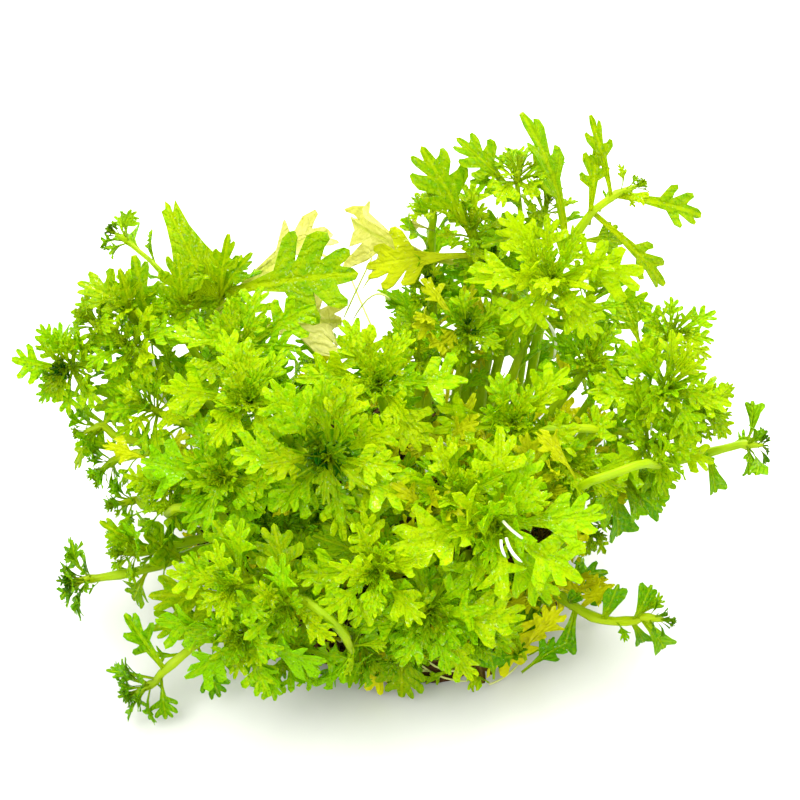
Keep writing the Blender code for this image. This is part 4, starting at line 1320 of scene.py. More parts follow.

# %% [markdown]
# ## The colours of the leaves
#
# Fresh leaves are yellow-green where the sun shines through and a purer, darker green where they lie
# deeper; on rosette leaves that deep green is also painted shade. The dimmed green is painted shade too,
# a darker copy of leaf green for the single leaves in open light, dark leaves are darker still, and
# dying ones fade to lime, yellow, cream and at last brown.
# Each colour is given four times: for the blade, its deep parts, its youth and its veins.

# %% The leaf colours
GREEN = leaf_material(
    "leaf green", (0.57, 0.72, 0.0), (0.29, 0.61, 0.0), (0.005, 0.11, 0.0), (0.52, 0.72, 0.0),
    vein_share=0.3, specks=1.0,
)
# Painted shade: a darker copy of leaf green for the single leaves, which stand in open light.
DIMMED_GREEN = leaf_material(
    "leaf mature", (0.44, 0.58, 0.0), (0.24, 0.48, 0.0), (0.03, 0.22, 0.0), (0.56, 0.68, 0.0),
    vein_share=0.5, specks=1.0,
)
DARK = leaf_material(
    "leaf dark", (0.27, 0.52, 0.0), (0.12, 0.38, 0.0), (0.03, 0.16, 0.0), (0.44, 0.64, 0.001),
    through=0.35, specks=0.8,
)
LIME = leaf_material(
    "leaf lime", (0.60, 0.66, 0.004), (0.50, 0.58, 0.0), (0.3, 0.5, 0.001), (0.66, 0.74, 0.01)
)
YELLOW = leaf_material(
    "leaf yellow", (0.82, 0.86, 0.002), (0.66, 0.68, 0.002), (0.5, 0.4, 0.004), (0.86, 0.86, 0.02)
)
CREAM = leaf_material(
    "leaf cream", (0.86, 0.84, 0.34), (0.70, 0.70, 0.16), (0.8, 0.7, 0.2), (0.60, 0.66, 0.08), vein_share=0.8
)
BROWN = leaf_material(
    "leaf brown", (0.16, 0.10, 0.008), (0.09, 0.05, 0.006), (0.1, 0.05, 0.01), (0.24, 0.18, 0.02)
)
print("leaf materials:", sum(material.name.startswith("leaf") for material in bpy.data.materials))

# %% [markdown]
# ## The stem's material
#
# The stems are watery and almost see-through, a clear yellow-green with fine ribs along them. The rib
# pattern is a wave round the tube, read from the place attribute, so it follows every bend. Real ribs in
# the mesh would need many more corners round each stem.

# %% Making the stem material
DRIFT_PER_METRE = 130.0
PITS_PER_METRE = 900.0
RIB_STRENGTH = 0.4
RIB_METRES = 0.0002


def stem_material(name, fresh, pale, ribs, through, roughness=0.38, specular=0.2):
    """A fleshy stem or root: two colours that drift along it, with ribs lengthwise."""
    material, tree, shader = new_material(name, fresh, roughness, specular)
    where = add_node(tree, "ShaderNodeTexCoord").outputs["Object"]
    drift = range_node(tree, noise_node(tree, where, DRIFT_PER_METRE), 0.35, 0.65)
    spot = read_attribute(tree, "place")
    around = math_node(tree, "PINGPONG", math_node(tree, "MULTIPLY", spot["Y"], ribs), 0.5)
    groove = range_node(tree, around, 0.0, 0.5)
    colour = mix_node(tree, drift, fresh, pale)
    tree.links.new(colour, shader.inputs["Base Color"])
    height = add_share(tree, groove, noise_node(tree, where, PITS_PER_METRE), 0.5)
    add_bump(tree, shader, height, RIB_STRENGTH, RIB_METRES)
    let_light_through(tree, shader, colour, through)
    return material


STEM = stem_material("stem", (0.36, 0.56, 0.001), (0.50, 0.66, 0.002), 6, 0.4)
WHITE_ROOT = stem_material("white root", (0.93, 0.95, 0.72), (0.95, 0.96, 0.88), 3, 0.3)
WIRY_ROOT = stem_material("wiry root", (0.72, 0.80, 0.16), (0.84, 0.88, 0.36), 3, 0.3)
OLD_ROOT = stem_material("old root", (0.05, 0.02, 0.006), (0.14, 0.09, 0.02), 3, 0.05, 0.8, 0.05)
SLOTS = {"stem": 0, "green": 1, "yellow": 2, "pale": 3, "lime": 4, "brown": 5, "dark": 6, "dimmed_green": 7}
SHOOT_MATERIALS = (STEM, GREEN, YELLOW, CREAM, LIME, BROWN, DARK, DIMMED_GREEN)
print("materials of a shoot:", [material.name for material in SHOOT_MATERIALS])

# %% [markdown]
# ## Which shoot looks how
#
# Some hearts in the bunch are tightly packed and get painted shade, some shoots get painted light as if
# they stood in full light, others painted shade as if they lay deep, and the runners at the edge are bare
# with curled tips. Short lists name them. The table of shoots could hold these words too, but there they
# would be in the way of the places and sizes.

# %% Lists of looks
def shoots_called(names):
    """The full names of the shoots with these short names."""
    return {"shoot_" + name for name in names.split()}


# Shoots whose rosettes get strong painted shade in the heart.
PAINTED_SHADE_HEARTS = shoots_called(
    "centre_rosette left_rosette left_low left_curl bud_middle gloss_middle dark_middle far_right"
)
CURLED_TIPS = shoots_called("far_right left_curl")
FLAT_SHOOTS = shoots_called("top_bud far_right")
SIDEWAYS_SHOOTS = shoots_called("arch_right")
SPOON_SHOOTS = shoots_called("right_runner far_right right_under")
THIN_STEMS = shoots_called("left_curl top_bud")
BARE_STEMS = shoots_called("right_runner far_right left_runner left_low arch_right top_bud")
# Shoots whose rosettes get painted light, as if they stood in full light.
PAINTED_LIGHT_SHOOTS = shoots_called(
    "front_bright centre_leafy front_middle top_rosette right_middle left_lobed bud_low_middle "
    "centre_right left_small_rosette"
)
# Shoots whose rosettes get painted shade, as if they lay deep.
PAINTED_SHADE_SHOOTS = shoots_called(
    "front_left front_left_low left_middle left_gloss gloss_middle dark_middle left_rosette front_low "
    "front_hanging right_dark right_under left_drop left_droop left_small back_middle top_bud"
)
DARK_SHOOTS = shoots_called("left_runner left_curl far_right right_runner left_low")
YELLOWING_SHOOTS = shoots_called(
    "right_middle centre_right right_under bud_low_middle bud_middle front_bright back_middle "
    "dark_middle right_dark"
)
# Counts of shoots with painted shade in the heart and with painted light.
print("shoots with a dark heart:", len(PAINTED_SHADE_HEARTS), "in full light:", len(PAINTED_LIGHT_SHOOTS))

# %% [markdown]
# ## Growing the shoots
#
# A shoot grows from the bottom up: stem, single leaves, the outer whorl of the rosette, more leaves in its
# gaps, and at the very tip the tightly packed young leaves. Every shoot has its own seeded dice, so no two
# are alike and the bunch is the same on each run. Copies of a few shoots would be less work, but the eye
# finds them at once.

# %% Stem and single leaves
STEM_STEPS = 14
SUNK_IN_ROOTS = 3.0
CROWN_END = 1.2
CROWN_RADII = (0.55, 0.25)
SLIM = 0.92  # of the solid's thickness
THIN = 0.6
NODE_SWELLING = 1.14
BETWEEN_NODES = 0.94


def stem_centres(plan):
    """The stem's centre line from inside the root tangle to just past the tip."""
    centres = [curve_point(plan["curve"], i / STEM_STEPS) for i in range(STEM_STEPS)]
    centres = [centre for centre in centres if (centre - plan["tip"]).length > 1.0 - STEM_END]
    below = centres[0] - (centres[1] - centres[0]).normalized() * SUNK_IN_ROOTS
    crown = [plan["tip"] + plan["facing"] * reach for reach in (STEM_END, WHORL_AT, 0.0, CROWN_END)]
    return [below, *centres, *crown]


def grow_stem(shape, plan):
    """The stem, thinner towards its tip, with a soft swelling at every third ring where leaves join."""
    centres = stem_centres(plan)
    slim = THIN if plan["name"] in THIN_STEMS else SLIM
    last = len(centres) - 1
    radii = []
    for i in range(len(centres)):
        share = i / last
        radius = STEM_RADIUS + (STEM_TIP_RADIUS - STEM_RADIUS) * share
        swelling = NODE_SWELLING if i % 3 == 0 else BETWEEN_NODES
        radii.append(radius * swelling * slim)
    radii[-2:] = CROWN_RADII
    draw_tube(shape, centres, radii, 8, (0.0, 0.3, 0.0), SLOTS["stem"])


HOODED_LEAF = ("shoot_upper_left", 0)
FOOT_DEPTH = 0.45
CURLED_WIDTH = 0.5


def grow_single_leaves(shape, plan, dice):
    """The larger leaves of the list, with their own widths and kinds."""
    for number, leaf in enumerate(plan["leaves"]):
        base = stem_point(plan, leaf["along"])
        along, _, face = leaf_axes(base, leaf["tip"], leaf["roll"])
        foot = base - along * FOOT_DEPTH
        narrow = leaf["width"] < NARROW_BELOW
        blank = SPEAR if narrow else BROAD
        curled = leaf["kind"] == "dark" and plan["name"] in SPOON_SHOOTS
        if curled:
            blank = SPOON
        if (plan["name"], number) == HOODED_LEAF:
            blank = HOOD
        wilted = leaf["kind"] == "pale"
        width = CURLED_WIDTH if curled else leaf["width"]
        look = (0.0, dice.uniform(0.2, 0.8), 0.0)
        # The green single leaves take the darker copy: painted shade on leaves in open light.
        slot = SLOTS["dimmed_green"] if leaf["kind"] == "green" else SLOTS[leaf["kind"]]
        lay_leaf(
            shape, blank, foot, leaf["tip"], face, width, look, slot,
            arch=leaf["arch"], fold=dice.uniform(0.3, 0.9) if wilted or curled else dice.uniform(0.15, 0.45),
            ripple=0.5 if wilted else 0.14, twist=dice.uniform(-0.5, 0.5), phase=dice.uniform(0, 6),
        )


print("the hooded leaf is number", HOODED_LEAF[1], "of", HOODED_LEAF[0])

# %% [markdown]
# ## One leaf of a rosette
#
# In a rosette each leaf starts from the stem, leans out by its own angle and looks up past the tip.
# Leaves low in the bunch get painted shade, a darker and purer green than those on top, as do shoots that
# lie deep, and shoots in full light get painted light that pales them; the look attribute carries both. A
# shoot that arches out sideways turns its leaves to the light, or they would be seen from the edge. A
# little dice in fold, ripple and twist keeps neighbours from looking alike.

# %% Laying a rosette's leaf
SHADE_SHARE = 0.5
LIT_HEIGHT = 55.0
FOOT_OUT = 0.4
TO_LIGHT = Vector((0.0, -0.5, 0.9))


def rosette_leaf(shape, plan, dice, blank, at, angle, lean, length, width, young, slot, light):
    """One leaf of a rosette, from the stem outward at this angle and lean."""
    facing = plan["facing"]
    out = spoke(facing, angle)
    centre = plan["tip"] + facing * at
    tip = centre + tilted(facing, out, lean) * length
    base = centre + out * FOOT_OUT
    face = tilted(-out, facing, lean)
    if plan["name"] in SIDEWAYS_SHOOTS:
        face += TO_LIGHT
    # Painted shade: leaves lower in the bunch, and those of shoots that lie deep, mix towards the deep green.
    deep = dice.uniform(-0.1, 0.6) + max(0.0, -light) + SHADE_SHARE * (1 - base.z / LIT_HEIGHT)
    # Painted light: the third part of the look pales the leaves of lit shoots.
    look = (young, deep, max(0.0, light) * dice.uniform(0.4, 1.3))
    lay_leaf(
        shape, blank, base, tip, face, width, look, slot,
        arch=dice.uniform(0.02, 0.20), fold=dice.uniform(0.15, 0.8), ripple=dice.uniform(0.1, 0.4),
        twist=dice.uniform(1.1, 1.5) if plan["name"] in CURLED_TIPS else dice.uniform(-0.7, 0.7),
        phase=dice.uniform(0, 6),
    )


# Painted shade: below this height rosette leaves turn a darker, purer green.
print("leaves turn a purer green below", LIT_HEIGHT, "mm")

# %% [markdown]
# ## The whole rosette
#
# The outer whorl lies where the solid has its leaves. More leaves follow inwards, each turned by the
# golden angle from the last, shorter and steeper, until the youngest close over the tip as a bud. Copies
# of one rosette would be lighter to draw, but every real one has its own gaps.

# %% Growing a rosette
BUD_AT = 0.6 * APEX_AT
BUD_LEAVES = 8
SHORTEST_BUD_LEAF = 2.2
# Painted shade in a rosette's heart: strong in the listed hearts, slight in the others, none on shoots in full
# light.
HEART_PAINTED_SHADE = 1.1
USUAL_HEART_PAINTED_SHADE = 0.25
# Painted light on shoots in full light; below zero it is painted shade.
PAINTED_FULL_LIGHT = 0.35
FLAT_RISE = 0.45
CURLED_STRETCH = 1.15


def rosette_mood(plan, dice):
    """Painted shade in a shoot's heart, its leaves' material, their painted light, and how steeply they rise.
    """
    bright = plan["name"] in PAINTED_LIGHT_SHOOTS
    dark = HEART_PAINTED_SHADE if plan["name"] in PAINTED_SHADE_HEARTS else USUAL_HEART_PAINTED_SHADE
    slot = SLOTS["dark"] if plan["name"] in DARK_SHOOTS else SLOTS["green"]
    light = PAINTED_FULL_LIGHT if bright else dice.uniform(0.0, 0.2)
    light = -PAINTED_FULL_LIGHT if plan["name"] in PAINTED_SHADE_SHOOTS else light
    rise = FLAT_RISE if plan["name"] in FLAT_SHOOTS else 1.0
    return 0.0 if bright else dark, slot, light, rise


def grow_rosette(shape, plan, dice):
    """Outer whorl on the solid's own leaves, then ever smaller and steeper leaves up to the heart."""
    dark, slot, light, rise = rosette_mood(plan, dice)
    curled = plan["name"] in CURLED_TIPS
    spoons = plan["name"] in SPOON_SHOOTS

    # glow is the painted light that the leaf gets.
    def leaf(blank, at, angle, lean, length, width, young, glow=0.0):
        rosette_leaf(shape, plan, dice, blank, at, angle, lean, length, width, young, slot, glow)

    for angle, lean, length in plan["outer"]:
        lean = lean * rise + dice.uniform(-4, 6)
        length *= dice.uniform(0.88, 1.04) * (CURLED_STRETCH if curled else 1.0)
        blank = SPOON if spoons else dice.choice((FAN, WEDGE))
        leaf(blank, WHORL_AT, angle, lean, length, dice.uniform(0.48, 0.70), 0.0, light)
    count = 3 if curled else 2 * plan["arms"]
    for k in range(count):
        share = k / count
        angle = plan["turn"] + GOLDEN_ANGLE * k + dice.uniform(-20, 20)
        lean = (14 + 46 * share) * rise + dice.uniform(-12, 12)
        length = plan["leaf"] * (0.90 - 0.44 * share) * dice.uniform(0.75, 1.12)
        at = WHORL_AT + (HEART_AT - WHORL_AT) * share
        blank = SPOON if spoons else dice.choice((FAN, WEDGE, FAN, FINGER))
        # Painted shade: leaves nearer the heart are mixed more towards the dark young colour.
        young = min(1.0, dark * (0.03 + 0.9 * share**3))
        leaf(blank, at, angle, lean, length, dice.uniform(0.45, 0.66), young, light * (1 - share))
    # The heart and bud leaves take painted shade from the heart as well.
    blank = SPOON if spoons else FINGER
    for angle, lean, length in plan["heart"]:
        leaf(blank, HEART_AT, angle, lean * rise, length, dice.uniform(0.4, 0.55), dark * 0.75)
    for k in range(BUD_LEAVES):
        length = max(SHORTEST_BUD_LEAF, plan["leaf"] * (0.32 - 0.02 * k))
        young = dark * (0.9 if k < BUD_LEAVES / 2 else 0.1)
        leaf(BUD, BUD_AT, plan["turn"] + GOLDEN_ANGLE * k, (48 + 5 * k) * rise, length, 0.6, young)


print("leaves in every bud:", BUD_LEAVES)

# %% [markdown]
# ## Leaves along the stems
#
# Between the rosettes, the real bunch is filled with smaller leaves all the way down the stems. They stay
# short, so they hardly leave the space that the shoot's solid spans. More solids for them would cost the
# frame its small number of faces.

# %% Growing the side leaves
SIDE_LEAF = 10.0
SMALL_LEAF = 6.0
SIDE_LEAVES = 9
BARE_STEM_LEAVES = 2
OLD_AMONG_THEM = 5
LOWEST_SIDE_TIP = 1.5


def grow_side_leaves(shape, plan, dice):
    """Small leaves round the stem, turned by the golden angle from one to the next."""
    bare = plan["name"] in BARE_STEMS
    count = BARE_STEM_LEAVES if bare else SIDE_LEAVES
    for k in range(count):
        along = 0.70 + 0.2 * k if bare else 0.20 + 0.72 * k / (count - 1)
        base = stem_point(plan, along)
        ahead = (stem_point(plan, min(along + 0.1, 0.99)) - stem_point(plan, along - 0.1)).normalized()
        out = spoke(ahead, GOLDEN_ANGLE * k + 40 * dice.random())
        length = SIDE_LEAF * dice.uniform(0.6, 1.3) * (0.6 if bare else 1.0)
        rise = ahead * dice.uniform(0.4, 1.2) + Vector((0, 0, dice.uniform(0.1, 0.6)))
        tip = base + (out + rise).normalized() * length
        tip.z = max(tip.z, LOWEST_SIDE_TIP)
        old = k < OLD_AMONG_THEM and plan["name"] in YELLOWING_SHOOTS
        kind = "yellow" if old or k < 2 and not bare and dice.random() < 0.4 else "green"
        blank = dice.choice((FAN, WEDGE)) if length > SMALL_LEAF else FINGER
        face = ahead + Vector((0, 0, 0.4))
        look = (0.0, dice.uniform(0.3, 1.0), 0.0)
        lay_leaf(
            shape, blank, base, tip, face, dice.uniform(0.42, 0.62), look, SLOTS[kind],
            fold=dice.uniform(0.2, 0.7), ripple=0.25, twist=dice.uniform(-0.8, 0.8), phase=dice.uniform(0, 6),
        )


print("usual side leaf in mm:", SIDE_LEAF)

# %% [markdown]
# ## Putting a shoot together
#
# Stem, single leaves, rosette and side leaves are grown into one mesh, because on the plant they are one
# piece. The mesh is drawn in millimetres and scaled to metres at the end. It then rides on the body of
# the frame and takes the place of its solid in the picture.

# %% Finishing the shoots
def add_object(name, data):
    """An object at the origin with this mesh, lamp or camera."""
    made = bpy.data.objects.new(name, data)
    bpy.context.scene.collection.objects.link(made)
    return made


def finish_piece(name, shape, materials, nodes):
    """Turns a bmesh in millimetres into an object that rides on the body and stands for its node."""
    bmesh.ops.scale(shape, vec=(MM, MM, MM), verts=shape.verts)
    mesh = bpy.data.meshes.new(name)
    shape.to_mesh(mesh)
    shape.free()
    for material in materials:
        mesh.materials.append(material)
    piece = add_object(name, mesh)
    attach(piece, "root")
    if nodes:
        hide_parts(*nodes)
    return piece


def grow_shoot(number, plan):
    """One whole shoot as one piece."""
    dice = random.Random(number + 1)
    shape = new_shape()
    grow_stem(shape, plan)
    grow_single_leaves(shape, plan, dice)
    grow_rosette(shape, plan, dice)
    grow_side_leaves(shape, plan, dice)
    name = plan["name"].replace("shoot_", "leafy_")
    return finish_piece(name, shape, SHOOT_MATERIALS, [plan["name"]])


shoots = [grow_shoot(number, plan) for number, plan in enumerate(placed)]
print("faces in all shoots:", sum(len(piece.data.polygons) for piece in shoots))

# %% [markdown]
# ## The root tangle
#
# Under the leaves lies a springy mat of old stems and roots. Its body is a lumpy dome, flat where it
# rests, and strands wind over it like yarn on a ball. Strands alone would let light through the middle,
# and a dome alone would look like a stone, so it takes both.

# %% The dome under the tangle
DOME_SPREAD = 0.95
DOME_HEIGHT = ROOT_HEIGHT - 0.8
DOME_BULGE = 0.9
ROUGHNESS = 0.5


def make_root_dome():
    """A sphere cut flat below, squashed to the root mass and roughened."""
    shape = new_shape()
    bmesh.ops.create_uvsphere(shape, u_segments=48, v_segments=24, radius=1.0)
    everything = shape.verts[:] + shape.edges[:] + shape.faces[:]
    bmesh.ops.bisect_plane(shape, geom=everything, plane_co=(0, 0, 0), plane_no=(0, 0, -1), clear_outer=True)
    bmesh.ops.holes_fill(shape, edges=shape.edges, sides=0)
    for vert in shape.verts:
        angle = math.atan2(vert.co.y, vert.co.x)
        across = math.hypot(vert.co.x, vert.co.y)
        flat = vert.co.z < 0.001
        spread = DOME_SPREAD * lumps(angle, across)
        rough = 0 if flat else ROUGHNESS * noise.noise(vert.co * 9)
        vert.co.x = ROOT_CENTRE.x + vert.co.x * spread * ROOT_HALF_LENGTH + rough
        vert.co.y = ROOT_CENTRE.y + vert.co.y * spread * ROOT_HALF_DEPTH + rough
        vert.co.z = 0.0 if flat else vert.co.z**DOME_BULGE * DOME_HEIGHT + rough
    bmesh.ops.recalc_face_normals(shape, faces=shape.faces)
    for face in shape.faces:
        face.smooth = True
    return finish_piece("root_dome", shape, [OLD_ROOT], ["root_mass"])


dome = make_root_dome()
print("dome faces:", len(dome.data.polygons))

# %% [markdown]
# ## Old roots on the dome
#
# Old roots creep over the tangle in wide bends, and others wind round its steep side. Each is a thin tube
# that is led step by step: it turns a little at random, stays close to the dome and turns back at the
# rim. A hair system would give more of them, but they would not be part of a mesh.

# %% Strands over the dome
STRANDS = 260
SIDE_STRANDS = 400
STRAND_STEPS = 9
STRAND_RADII = (0.22, 0.3, 0.42)
THICKEST_STRAND = 0.6
LOWEST_STRAND = 0.6
RIM = 0.96


def dome_point(x, y, lift):
    """A point this far above the dome, kept above the ground."""
    return Vector((x, y, max(LOWEST_STRAND, root_top(x, y) * 0.97 + lift)))


def side_point(angle, height, lift):
    """A point on the dome's steep side at this angle and height."""
    rise = min(1.0, height / DOME_HEIGHT) ** (1 / DOME_BULGE)
    across = math.sqrt(1 - rise**2)
    spread = DOME_SPREAD * lumps(angle, across) * across
    x = ROOT_CENTRE.x + math.cos(angle) * (spread * ROOT_HALF_LENGTH + lift)
    y = ROOT_CENTRE.y + math.sin(angle) * (spread * ROOT_HALF_DEPTH + lift)
    return Vector((x, y, height))


def draw_old_root(shape, dice, centres, thickness, pale_share):
    """One old root along these centres, thinner at its end, now and then still pale."""
    radius = dice.choice(thickness)
    slot = 1 if dice.random() < pale_share else 0
    draw_tube(shape, centres, [radius] * (STRAND_STEPS - 1) + [radius * 0.4], 5, (0, 0.5, 0), slot)


def wind_round(shape, dice):
    """One old root that winds round the dome's side."""
    angle = dice.uniform(0, 2 * math.pi)
    height = dice.uniform(LOWEST_STRAND, 11.0)
    turn = dice.choice((1, -1)) * dice.uniform(0.05, 0.11)
    climb = dice.uniform(-0.8, 0.8)
    lift = dice.uniform(0.0, 0.9)
    centres = []
    for _ in range(STRAND_STEPS):
        centres.append(side_point(angle, height, lift))
        angle += turn
        height = min(11.5, max(LOWEST_STRAND, height + climb + dice.uniform(-0.4, 0.4)))
    draw_old_root(shape, dice, centres, STRAND_RADII, 0.15)


def creep_over(shape, dice):
    """One old root that wanders over the dome and turns back at its rim."""
    angle = dice.uniform(0, 2 * math.pi)
    reach = dice.uniform(0.2, 0.96) ** 0.6
    heading = angle + dice.uniform(0.8, 2.4) * dice.choice((1, -1))
    x = ROOT_CENTRE.x + math.cos(angle) * reach * ROOT_HALF_LENGTH * RIM
    y = ROOT_CENTRE.y + math.sin(angle) * reach * ROOT_HALF_DEPTH * RIM
    step = dice.uniform(2.0, 3.6)
    bend = dice.uniform(-0.25, 0.25)
    lift = dice.uniform(0.0, 1.0)
    centres = []
    for k in range(STRAND_STEPS):
        centres.append(dome_point(x, y, lift + 0.5 * math.sin(k * 1.1 + angle)))
        heading += bend + dice.uniform(-0.12, 0.12)
        inward = ROOT_CENTRE - Vector((x, y, 0))
        if math.hypot(inward.x / ROOT_HALF_LENGTH, inward.y / ROOT_HALF_DEPTH) > 0.93:
            heading = math.atan2(inward.y, inward.x) + 0.9 * math.copysign(1, bend)
        x += math.cos(heading) * step
        y += math.sin(heading) * step
    draw_old_root(shape, dice, centres, (*STRAND_RADII, THICKEST_STRAND), 0.10)


def make_strands():
    """Old roots round the dome's side and over it, most of them brown and some still pale."""
    dice = random.Random(77)
    shape = new_shape()
    for _ in range(SIDE_STRANDS):
        wind_round(shape, dice)
    for _ in range(STRANDS):
        creep_over(shape, dice)
    return finish_piece("root_strands", shape, [OLD_ROOT, WIRY_ROOT], [])


strands = make_strands()
print("strand faces:", len(strands.data.polygons))

# %% [markdown]
# ## Old leaves on the tangle
#
# Leaves that lost the light turn yellow and brown and lie on the roots. They fill the gaps between the
# stems with warm colour. They could be dropped on the tangle by a simulation, but a place, a heading and a
# little dice for each give the same mess in no time.

# %% Leaves that lie on the dome
OLD_KINDS = ("yellow", "green", "brown", "dark", "lime")
OLD_MATERIALS = (YELLOW, GREEN, BROWN, DARK, LIME)
FILLERS = (
    ((272, 505, 22), 9.0, 60, "dark dark green"),
    ((300, 540, 18), 6.0, 30, "dark green green"),
    ((255, 480, 26), 6.0, 24, "dark green green"),
    ((440, 475, 26), 6.0, 24, "yellow yellow green"),
    ((398, 520, 24), 4.0, 12, "yellow green"),
    ((375, 478, 30), 3.0, 8, "yellow green"),
    ((556, 585, 14), 4.0, 14, "yellow yellow dark"),
    ((512, 656, 7), 3.5, 10, "yellow green dark"),
    ((458, 442, 44), 4.0, 8, "lime"),
    ((546, 492, 40), 5.0, 10, "lime"),
    ((448, 335, 48), 3.0, 6, "lime"),
    ((163, 468, 40), 2.5, 5, "lime"),
    ((420, 520, 42), 2.5, 5, "lime"),
)
OLD_LEAVES = 330
RIM_LEAVES = 230
LOWEST_OLD_LEAF = 2.0


def lay_old_leaf(shape, dice, base, heading, face, kinds):
    """A small leaf that lies where it fell."""
    tip = base + heading.normalized() * dice.uniform(6, 12)
    tip.z = max(tip.z, LOWEST_OLD_LEAF)
    lay_leaf(
        shape, dice.choice((FAN, SPEAR, WEDGE)), base, tip, face, dice.uniform(0.4, 0.6),
        (0.0, dice.uniform(0.2, 1.0), 0.0), OLD_KINDS.index(dice.choice(kinds.split())),
        fold=dice.uniform(0.0, 0.6), ripple=0.3, twist=dice.uniform(-0.8, 0.8), phase=dice.uniform(0, 6),
    )


def fill_gap(shape, dice, middle, spread, count, kinds):
    """A handful of leaves between the shoots, round one seen place."""
    for _ in range(count):
        base = seen(*middle) + Vector([dice.gauss(0, 0.5) * spread for _ in range(3)])
        base.z = max(base.z, LOWEST_OLD_LEAF)
        heading = Vector((dice.uniform(-1, 1), dice.uniform(-1, 0.6), dice.uniform(0.0, 1.2)))
        lay_old_leaf(shape, dice, base, heading, Vector((0, -0.4, 1)), kinds)


def lay_on_rim(shape, dice):
    """An old leaf on the tangle's steep side."""
    angle = dice.uniform(0, 2 * math.pi)
    outward = Vector((math.cos(angle), math.sin(angle), 0.0))
    sideways = Vector((-math.sin(angle), math.cos(angle), 0.0))
    base = side_point(angle, dice.uniform(LOWEST_OLD_LEAF, 11.0), 0.5)
    heading = outward * dice.uniform(0.0, 0.6) + sideways * dice.uniform(-1, 1)
    heading.z = dice.uniform(-0.6, 0.8)
    face = outward + Vector((0, 0, 0.6))
    lay_old_leaf(shape, dice, base, heading, face, "yellow green green green dark dark")


def lay_on_top(shape, dice):
    """An old leaf on top of the tangle."""
    angle = dice.uniform(0, 2 * math.pi)
    reach = dice.random() ** 0.5 * 0.98
    x = ROOT_CENTRE.x + math.cos(angle) * reach * ROOT_HALF_LENGTH
    y = ROOT_CENTRE.y + math.sin(angle) * reach * ROOT_HALF_DEPTH
    turn = dice.uniform(0, 2 * math.pi)
    base = Vector((x, y, root_top(x, y) + dice.uniform(0.5, 3.5)))
    heading = Vector((math.cos(turn), math.sin(turn), dice.uniform(-0.3, 1.2)))
    kinds = "yellow yellow green green green brown dark dark"
    lay_old_leaf(shape, dice, base, heading, Vector((0, 0, 1)), kinds)


def make_old_leaves():
    """Yellow, brown and dark green leaves on the root tangle, over its rim and between the shoots."""
    dice = random.Random(5)
    shape = new_shape()
    for filler in FILLERS:
        fill_gap(shape, dice, *filler)
    for _ in range(RIM_LEAVES):
        lay_on_rim(shape, dice)
    for _ in range(OLD_LEAVES):
        lay_on_top(shape, dice)
    return finish_piece("old_leaves", shape, OLD_MATERIALS, [])


old_leaves = make_old_leaves()
print("old leaf faces:", len(old_leaves.data.polygons))

# %% [markdown]
# ## White water roots
#
# Fresh roots hang from the nodes of the stems, white and thin as thread, and older ones are wiry. Each is
# a short curve through three points, given as the list of shoots is, by where the view shows them and
# their height. Roots at random places would be quicker, but here the white ones are few and catch the eye.

# %% The fine roots
WHITE_PATHS = (
    ((140, 362, 46), (160, 392, 42), (178, 422, 36)),
    ((152, 356, 46), (165, 388, 41), (192, 418, 34)),
    ((430, 428, 46), (438, 438, 46), (450, 447, 45)),
    ((425, 456, 44), (427, 475, 42), (429, 497, 38)),
    ((503, 521, 47), (514, 532, 46), (527, 541, 44)),
    ((501, 540, 46), (502, 549, 45), (506, 557, 43)),
    ((506, 538, 46), (512, 552, 45), (522, 562, 43)),
    ((604, 480, 34), (600, 500, 30), (590, 518, 26)),
    ((580, 497, 34), (586, 508, 31), (590, 519, 27)),
    ((562, 540, 22), (553, 556, 18), (550, 574, 14)),
    ((585, 547, 20), (578, 553, 18), (573, 563, 15)),
    ((484, 600, 28), (482, 610, 26), (484, 622, 24)),
    ((493, 618, 20), (492, 638, 12), (492, 657, 6)),
    ((545, 320, 54), (555, 338, 49), (553, 360, 43)),
    ((521, 300, 56), (516, 308, 54), (514, 320, 51)),
    ((645, 402, 42), (651, 418, 40), (650, 436, 36)),
    ((683, 425, 42), (687, 432, 40), (689, 441, 38)),
    ((180, 568, 30), (187, 578, 28), (197, 590, 24)),
)
WIRY_PATHS = (
    ((372, 258, 40), (352, 300, 30), (344, 318, 24)),
    ((390, 300, 36), (372, 296, 36), (352, 322, 26)),
    ((345, 262, 34), (360, 300, 30), (378, 340, 26)),
    ((420, 300, 40), (405, 318, 34), (398, 340, 28)),
    ((395, 250, 44), (376, 270, 38), (362, 290, 30)),
    ((418, 662, 5), (440, 676, 2), (468, 681, 1.2)),
    ((424, 658, 6), (446, 670, 3), (470, 668, 3)),
    ((489, 684, 1.2), (505, 676, 1.2), (520, 662, 3)),
    ((340, 340, 22), (356, 346, 20), (372, 352, 20)),
)
STEM_PATHS = (
    ((290, 588, 34), (322, 612, 35), (352, 638, 28)),
    ((574, 482, 42), (612, 474, 46), (660, 452, 46)),
    ((536, 426, 48), (566, 429, 48), (612, 424, 46)),
    ((166, 500, 36), (204, 512, 38), (240, 520, 36)),
)
print("white roots:", len(WHITE_PATHS), "wiry roots:", len(WIRY_PATHS), "bare stems:", len(STEM_PATHS))

# %% [markdown]
# ## Threads and bare stems
#
# Every path is one smooth bend, drawn as a thin tube that fades out like a real root tip. A few bare
# stems of the same kind cross the bunch on top. Their ends dip down between the leaves and wear small
# leaves of their own.

# %% Drawing the threads
END_DIP = 3.5
WHITE_RADIUS = 0.28
WIRY_RADIUS = 0.2
BARE_RADIUS = 0.85


